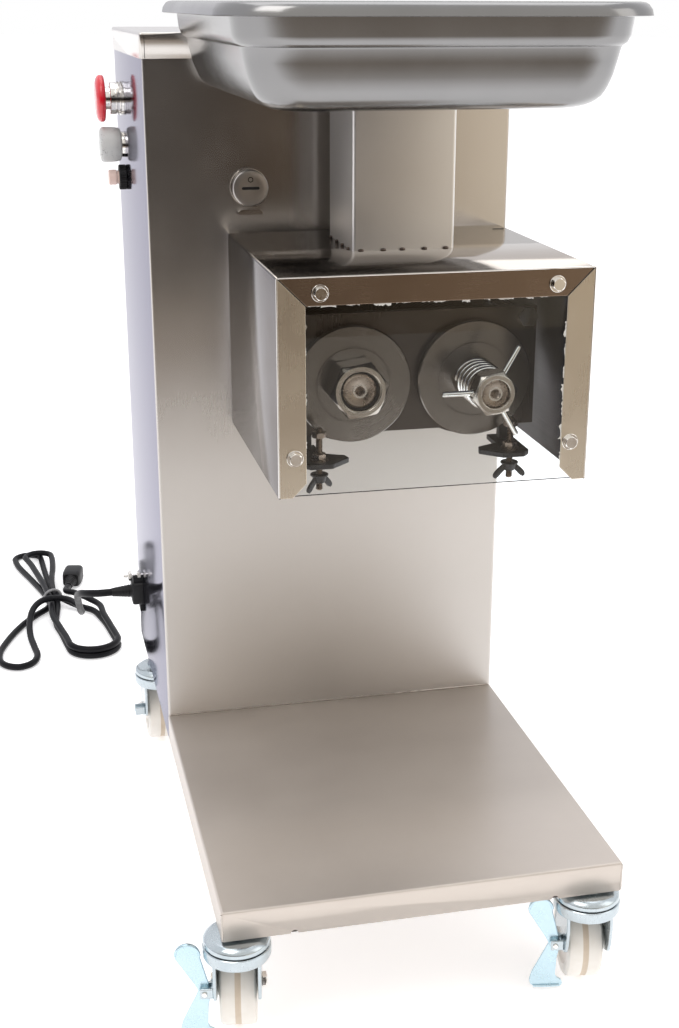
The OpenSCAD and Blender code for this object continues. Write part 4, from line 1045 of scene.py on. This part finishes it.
def add_caster(tag, cx, cy, heading):
    move = Matrix.Translation((cx, cy, 0)) @ Matrix.Rotation(radians(heading), 4, "Z")
    fork = f"caster_{tag}"

    bm = bmesh.new()
    lathe(bm, [(82.3, 19.5), (82.1, 23), (82.4, 26.4), (83.6, 28.6), (85.6, 29.5), (92, 29.5), (93.4, 29.2),
               (94, 28.4), (94, 21), (93.4, 19.6), (88.6, 17.2), (87.9, 15), (87.9, 5.4), (84.2, 5.4),
               (84, 17)], "z", (0, 0), 72, wrap=True)
    piece(f"raceway_{tag}", bm, "zinc", f"fork_{tag}", body=fork, move=move)
    bm = bmesh.new()
    cheek = [(-18, 88), (14, 88), (27, 85), (33, 64), (38, 42), (37, 34), (32, 28.4), (26, 26.6), (20, 28),
             (8, 35), (-8, 41.5), (-15, 46), (-19, 56), (-21, 72)]
    for x in (-20.5, 17.5):
        prism(bm, cheek, "x", x, x + 3)
    box(bm, (-20.5, 20.5), (-19, 27), (85, 87.8))
    for y in (-11, -1):
        box(bm, (-32, -20.4), (y, y + 2.5), (45, 55))
    piece(f"fork_cheeks_{tag}", bm, "zinc", body=fork, bevel=1.1, segments=3, move=move)
    bm = bmesh.new()
    for low, high in ((-24.5, -20.5), (20.5, 24.5)):
        hexagon(bm, 12.5, "x", AXLE, low, high, 12)
    tube(bm, [(-25.6, *AXLE), (-25, *AXLE), (25, *AXLE), (25.6, *AXLE)],
         [3.2, 4, 4, 3.2], 24)
    lathe(bm, [(77.2, 0.1), (77.2, 5.4), (78, 7.4), (79.4, 8.4), (83, 8.4), (84.4, 7.6), (84.4, 0.1)],
          "z", (0, 0), 32)
    if tag in ("fl", "fr"):
        tube(bm, [(-28, -12.4, 50), (-28, -11.8, 50), (-28, 2.2, 50), (-28, 2.8, 50)], [1.9, 2.5, 2.5, 1.9], 20)
    piece(f"axle_{tag}", bm, "bright", body=fork, slot="zinc_plate", angle=30, move=move)

    # Ball race: a dark ring of painted shade in its gap
    bm = bmesh.new()
    lathe(bm, [(93.9, 20), (93.9, 27.4), (95, 27.4), (95, 20)], "z", (0, 0), 64, wrap=True)
    piece(f"race_gap_shade_{tag}", bm, "gap", body=fork, slot="zinc_plate", move=move)

    bm = bmesh.new()
    lathe(bm, [(94.6, 20), (94.6, 27.2), (95.2, 28.2), (96.4, 28.8), (99, 28.8), (100.4, 28.2), (101.6, 26.8),
               (103.2, 24.8), (104, 22.4), (104.2, 16), (104.8, 14.4), (106.9, 14.2), (106.9, 9), (96, 9)],
          "z", (cx, cy), 72, wrap=True)
    tube(bm, [(cx, cy, 104), (cx, cy, 127)], 6, 24)
    tops = ("caster_tops",) if tag == "fl" else ()
    piece(f"top_plate_{tag}", bm, "zinc", *tops, angle=35)

    bm = bmesh.new()
    tread, half = 37.5, 16
    profile = [(-half + 2.2, 6.2), (-half - 2.2, 7), (-half - 2.4, 8), (-half - 2.4, 12), (-half - 1.6, 13),
               (-half + 2.6, 14.6), (-half + 3, 15.4), (-half + 3, 24), (-half + 2.4, 25.2),
               (-half + 0.5, 26.4), (-half, 28), (-half, 33.6), (-half + 0.6, 35.4), (-half + 1.9, 36.9),
               (-half + 4.2, 37.4), (-half + 5.4, tread), (-2.6, tread), (-2, tread - 0.25)]
    profile += [(-along, r) for along, r in profile[::-1]]
    lathe(bm, profile, "x", AXLE, 96, wrap=True)
    tyre = piece(f"caster_wheel_{tag}", bm, "wheel", f"wheel_{tag}", body=f"wheel_{tag}", angle=35, move=move,
                 more=("band",))
    axis = (move.to_3x3() @ Vector((1, 0, 0))).normalized()
    centre = TO_FRAME @ move @ Vector((0, *AXLE))
    for face in tyre.data.polygons:
        arm = face.center - centre
        arm -= axis * arm.dot(axis)
        offset = abs((face.center - centre).dot(axis))
        if arm.length > (tread - 0.5) / 1000 and offset < 2.7 / 1000:
            face.material_index = 1


def add_pedal(tag):
    cx, cy, heading = CASTERS[tag]
    move = Matrix.Translation((cx, cy, 0)) @ Matrix.Rotation(radians(heading), 4, "Z")
    outline = [(-22.4, 50), (-24, 55), (-31, 82)] + arc(-42, 86, 11, -10, 190, 20)
    outline += [(-52.4, 82), (-36, 55), (-33.6, 50), (-35.4, 46), (-41, 34), (-47.6, 20), (-49.6, 12),
                (-48.6, 7), (-44, 3.4), (-38, 3), (-24, 3), (-20.4, 3.8), (-19, 7), (-20.4, 11), (-24, 13),
                (-26, 16), (-25.2, 34)]
    bm = bmesh.new()
    prism(bm, outline, "y", -6, -3.5)
    piece(f"pedal_plate_{tag}", bm, "pedal", f"brake_{tag}", body=f"pedal_{tag}", bevel=0.9, segments=3,
          angle=40, move=move)
    bm = bmesh.new()
    lathe(bm, [(-8, 2.6), (-8, 4.4), (-7.6, 5), (-1.9, 5), (-1.5, 4.4), (-1.5, 2.6)], "y", (-28, 50), 32,
          wrap=True)
    # Rolled front edge that the foot presses
    tube(bm, [(x, -6.4, z) for x, z in arc(-42, 86, 10.4, 0, 180, 15)], 1.1, 10)
    tube(bm, [(-46, -6.4, 5.4), (-22, -6.4, 5.4)], 1.1, 10)
    piece(f"pedal_boss_{tag}", bm, "pedal", body=f"pedal_{tag}", angle=40, move=move)


for name, (x, y, turn) in CASTERS.items():
    add_caster(name, x, y, turn)
for name in ("fl", "fr"):
    add_pedal(name)


# ---- finishes of the CAD nodes that stay

# End plates, combs and blades take the near-black inner steel, which is painted shade
KEPT = {
    "rear_panel": "cabinet", "inner_frame": "primer", "caster_pads": "primer", "shaft_bearings": "cast",
    "gear_housing": "cast", "gearbox_cover": "cast", "end_plates": "inside", "tie_rods": "bright",
    "combs": "inside", "motor": "enamel", "motor_mount": "primer", "drive_belt": "belt", "contactor": "white",
    "gear_left": "brown", "gear_right": "brown", "blades_left": "inside", "blades_right": "inside",
    "driven_pulley": "cast", "motor_pulley": "cast",
}
for node, finish in KEPT.items():
    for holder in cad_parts[node].material_slots:
        holder.link = "OBJECT"
        holder.material = MAT[finish]


# ---- studio

def add_floor():
    bm = bmesh.new()
    bm.faces.new([bm.verts.new((x, y, -0.0006)) for x, y in rounded(30, 42.8, 2.4, 0.3, 18.5, 24)])
    mesh = bpy.data.meshes.new("studio_floor")
    bmesh.ops.recalc_face_normals(bm, faces=bm.faces)
    bm.to_mesh(mesh)
    bm.free()
    floor = add_object("studio_floor", mesh)
    s = Shader("floor_paint", Roughness=0.55, Emission_Strength=1.0, Specular_IOR_Level=0.1)
    # The part in front of the machine is only seen mirrored in the steel, and is painted dark there: a painted
    # reflection of a dark room
    seen = s.add("LightPath", "Is Camera Ray")
    near = s.sum(s.range(s.split(s.where)[1], 0.0, 1.0, -1.60, -0.90), seen, "MAXIMUM")
    s.set(Base_Color=s.ramp(near, (0.0, (0.30, 0.26, 0.22)), (1.0, (0.93, 0.93, 0.935))),
          Emission_Color=s.ramp(near, (0.0, (0.05, 0.04, 0.03)), (1.0, (0.42, 0.42, 0.425))))
    mesh.materials.append(s.material)


def lamp(name, stand, aim, size, power, colour=(1, 1, 1)):
    data = bpy.data.lights.new(name, "AREA")
    data.shape = "RECTANGLE"
    data.size, data.size_y = size
    data.energy = power
    data.color = colour
    light = add_object(name, data)
    light.location = stand
    light.rotation_euler = (Vector(aim) - Vector(stand)).to_track_quat("-Z", "Y").to_euler()


def add_world():
    """A room that is dark front left and light elsewhere; the camera itself sees plain white."""
    bpy.context.scene.world = bpy.data.worlds.new("studio")
    w = Tree(bpy.context.scene.world)
    x, y, z = w.split(w.add("TexCoord", "Generated"))

    def spread(value, low, high):
        node = w.wire(w.nodes.new("ShaderNodeMapRange"), From_Min=low, From_Max=high, Value=value)
        node.interpolation_type = "SMOOTHSTEP"
        return node.outputs["Result"]

    def mix(factor, a, b):
        node = w.nodes.new("ShaderNodeMix")
        node.data_type = "RGBA"
        return w.wire(node, Factor=factor, A=a, B=b).outputs["Result"]

    front = w.ramp(spread(x, 0.0, 0.50), (0.0, (0.02, 0.013, 0.009)), (0.30, (0.085, 0.056, 0.035)),
                   (0.62, (0.34, 0.26, 0.18)), (1, (0.95, 0.84, 0.68)))
    back = w.ramp(spread(x, -1, 1), (0.0, (0.80, 0.80, 0.88)), (1.0, (0.92, 0.91, 0.90)))
    sky = w.ramp(spread(y, -0.8, 0.8), (0.0, (0.92, 0.89, 0.85)), (0.5, (0.98, 0.98, 1.0)),
                 (1, (1, 1, 1.03)))
    room = mix(spread(z, 0.06, 0.36), mix(spread(y, -0.75, 0.1), front, back), sky)
    around = w.wire(w.nodes["Background"], Strength=1.0, Color=room).outputs["Background"]
    pale = w.add("Background", "Background", Strength=1.0, Color=(1, 1, 1, 1))
    choose = w.nodes.new("ShaderNodeMixShader")
    for socket, output in zip(choose.inputs, (w.add("LightPath", "Is Camera Ray"), around, pale)):
        w.links.new(output, socket)
    w.wire(w.nodes["World Output"], Surface=choose.outputs["Shader"])


add_floor()
add_world()
lamp("key", (-0.9, -0.9, 2.5), (0.05, 0.0, 0.45), (1.2, 1.2), 13, (1.0, 0.985, 0.96))
lamp("top", (0.2, 0.5, 2.7), (0.05, 0.0, 0.4), (2.2, 1.6), 15)
lamp("right", (1.7, -1.0, 1.4), (0.1, 0.0, 0.5), (1.0, 1.6), 5, (1.0, 0.97, 0.93))
bpy.context.scene.view_settings.view_transform = "Standard"
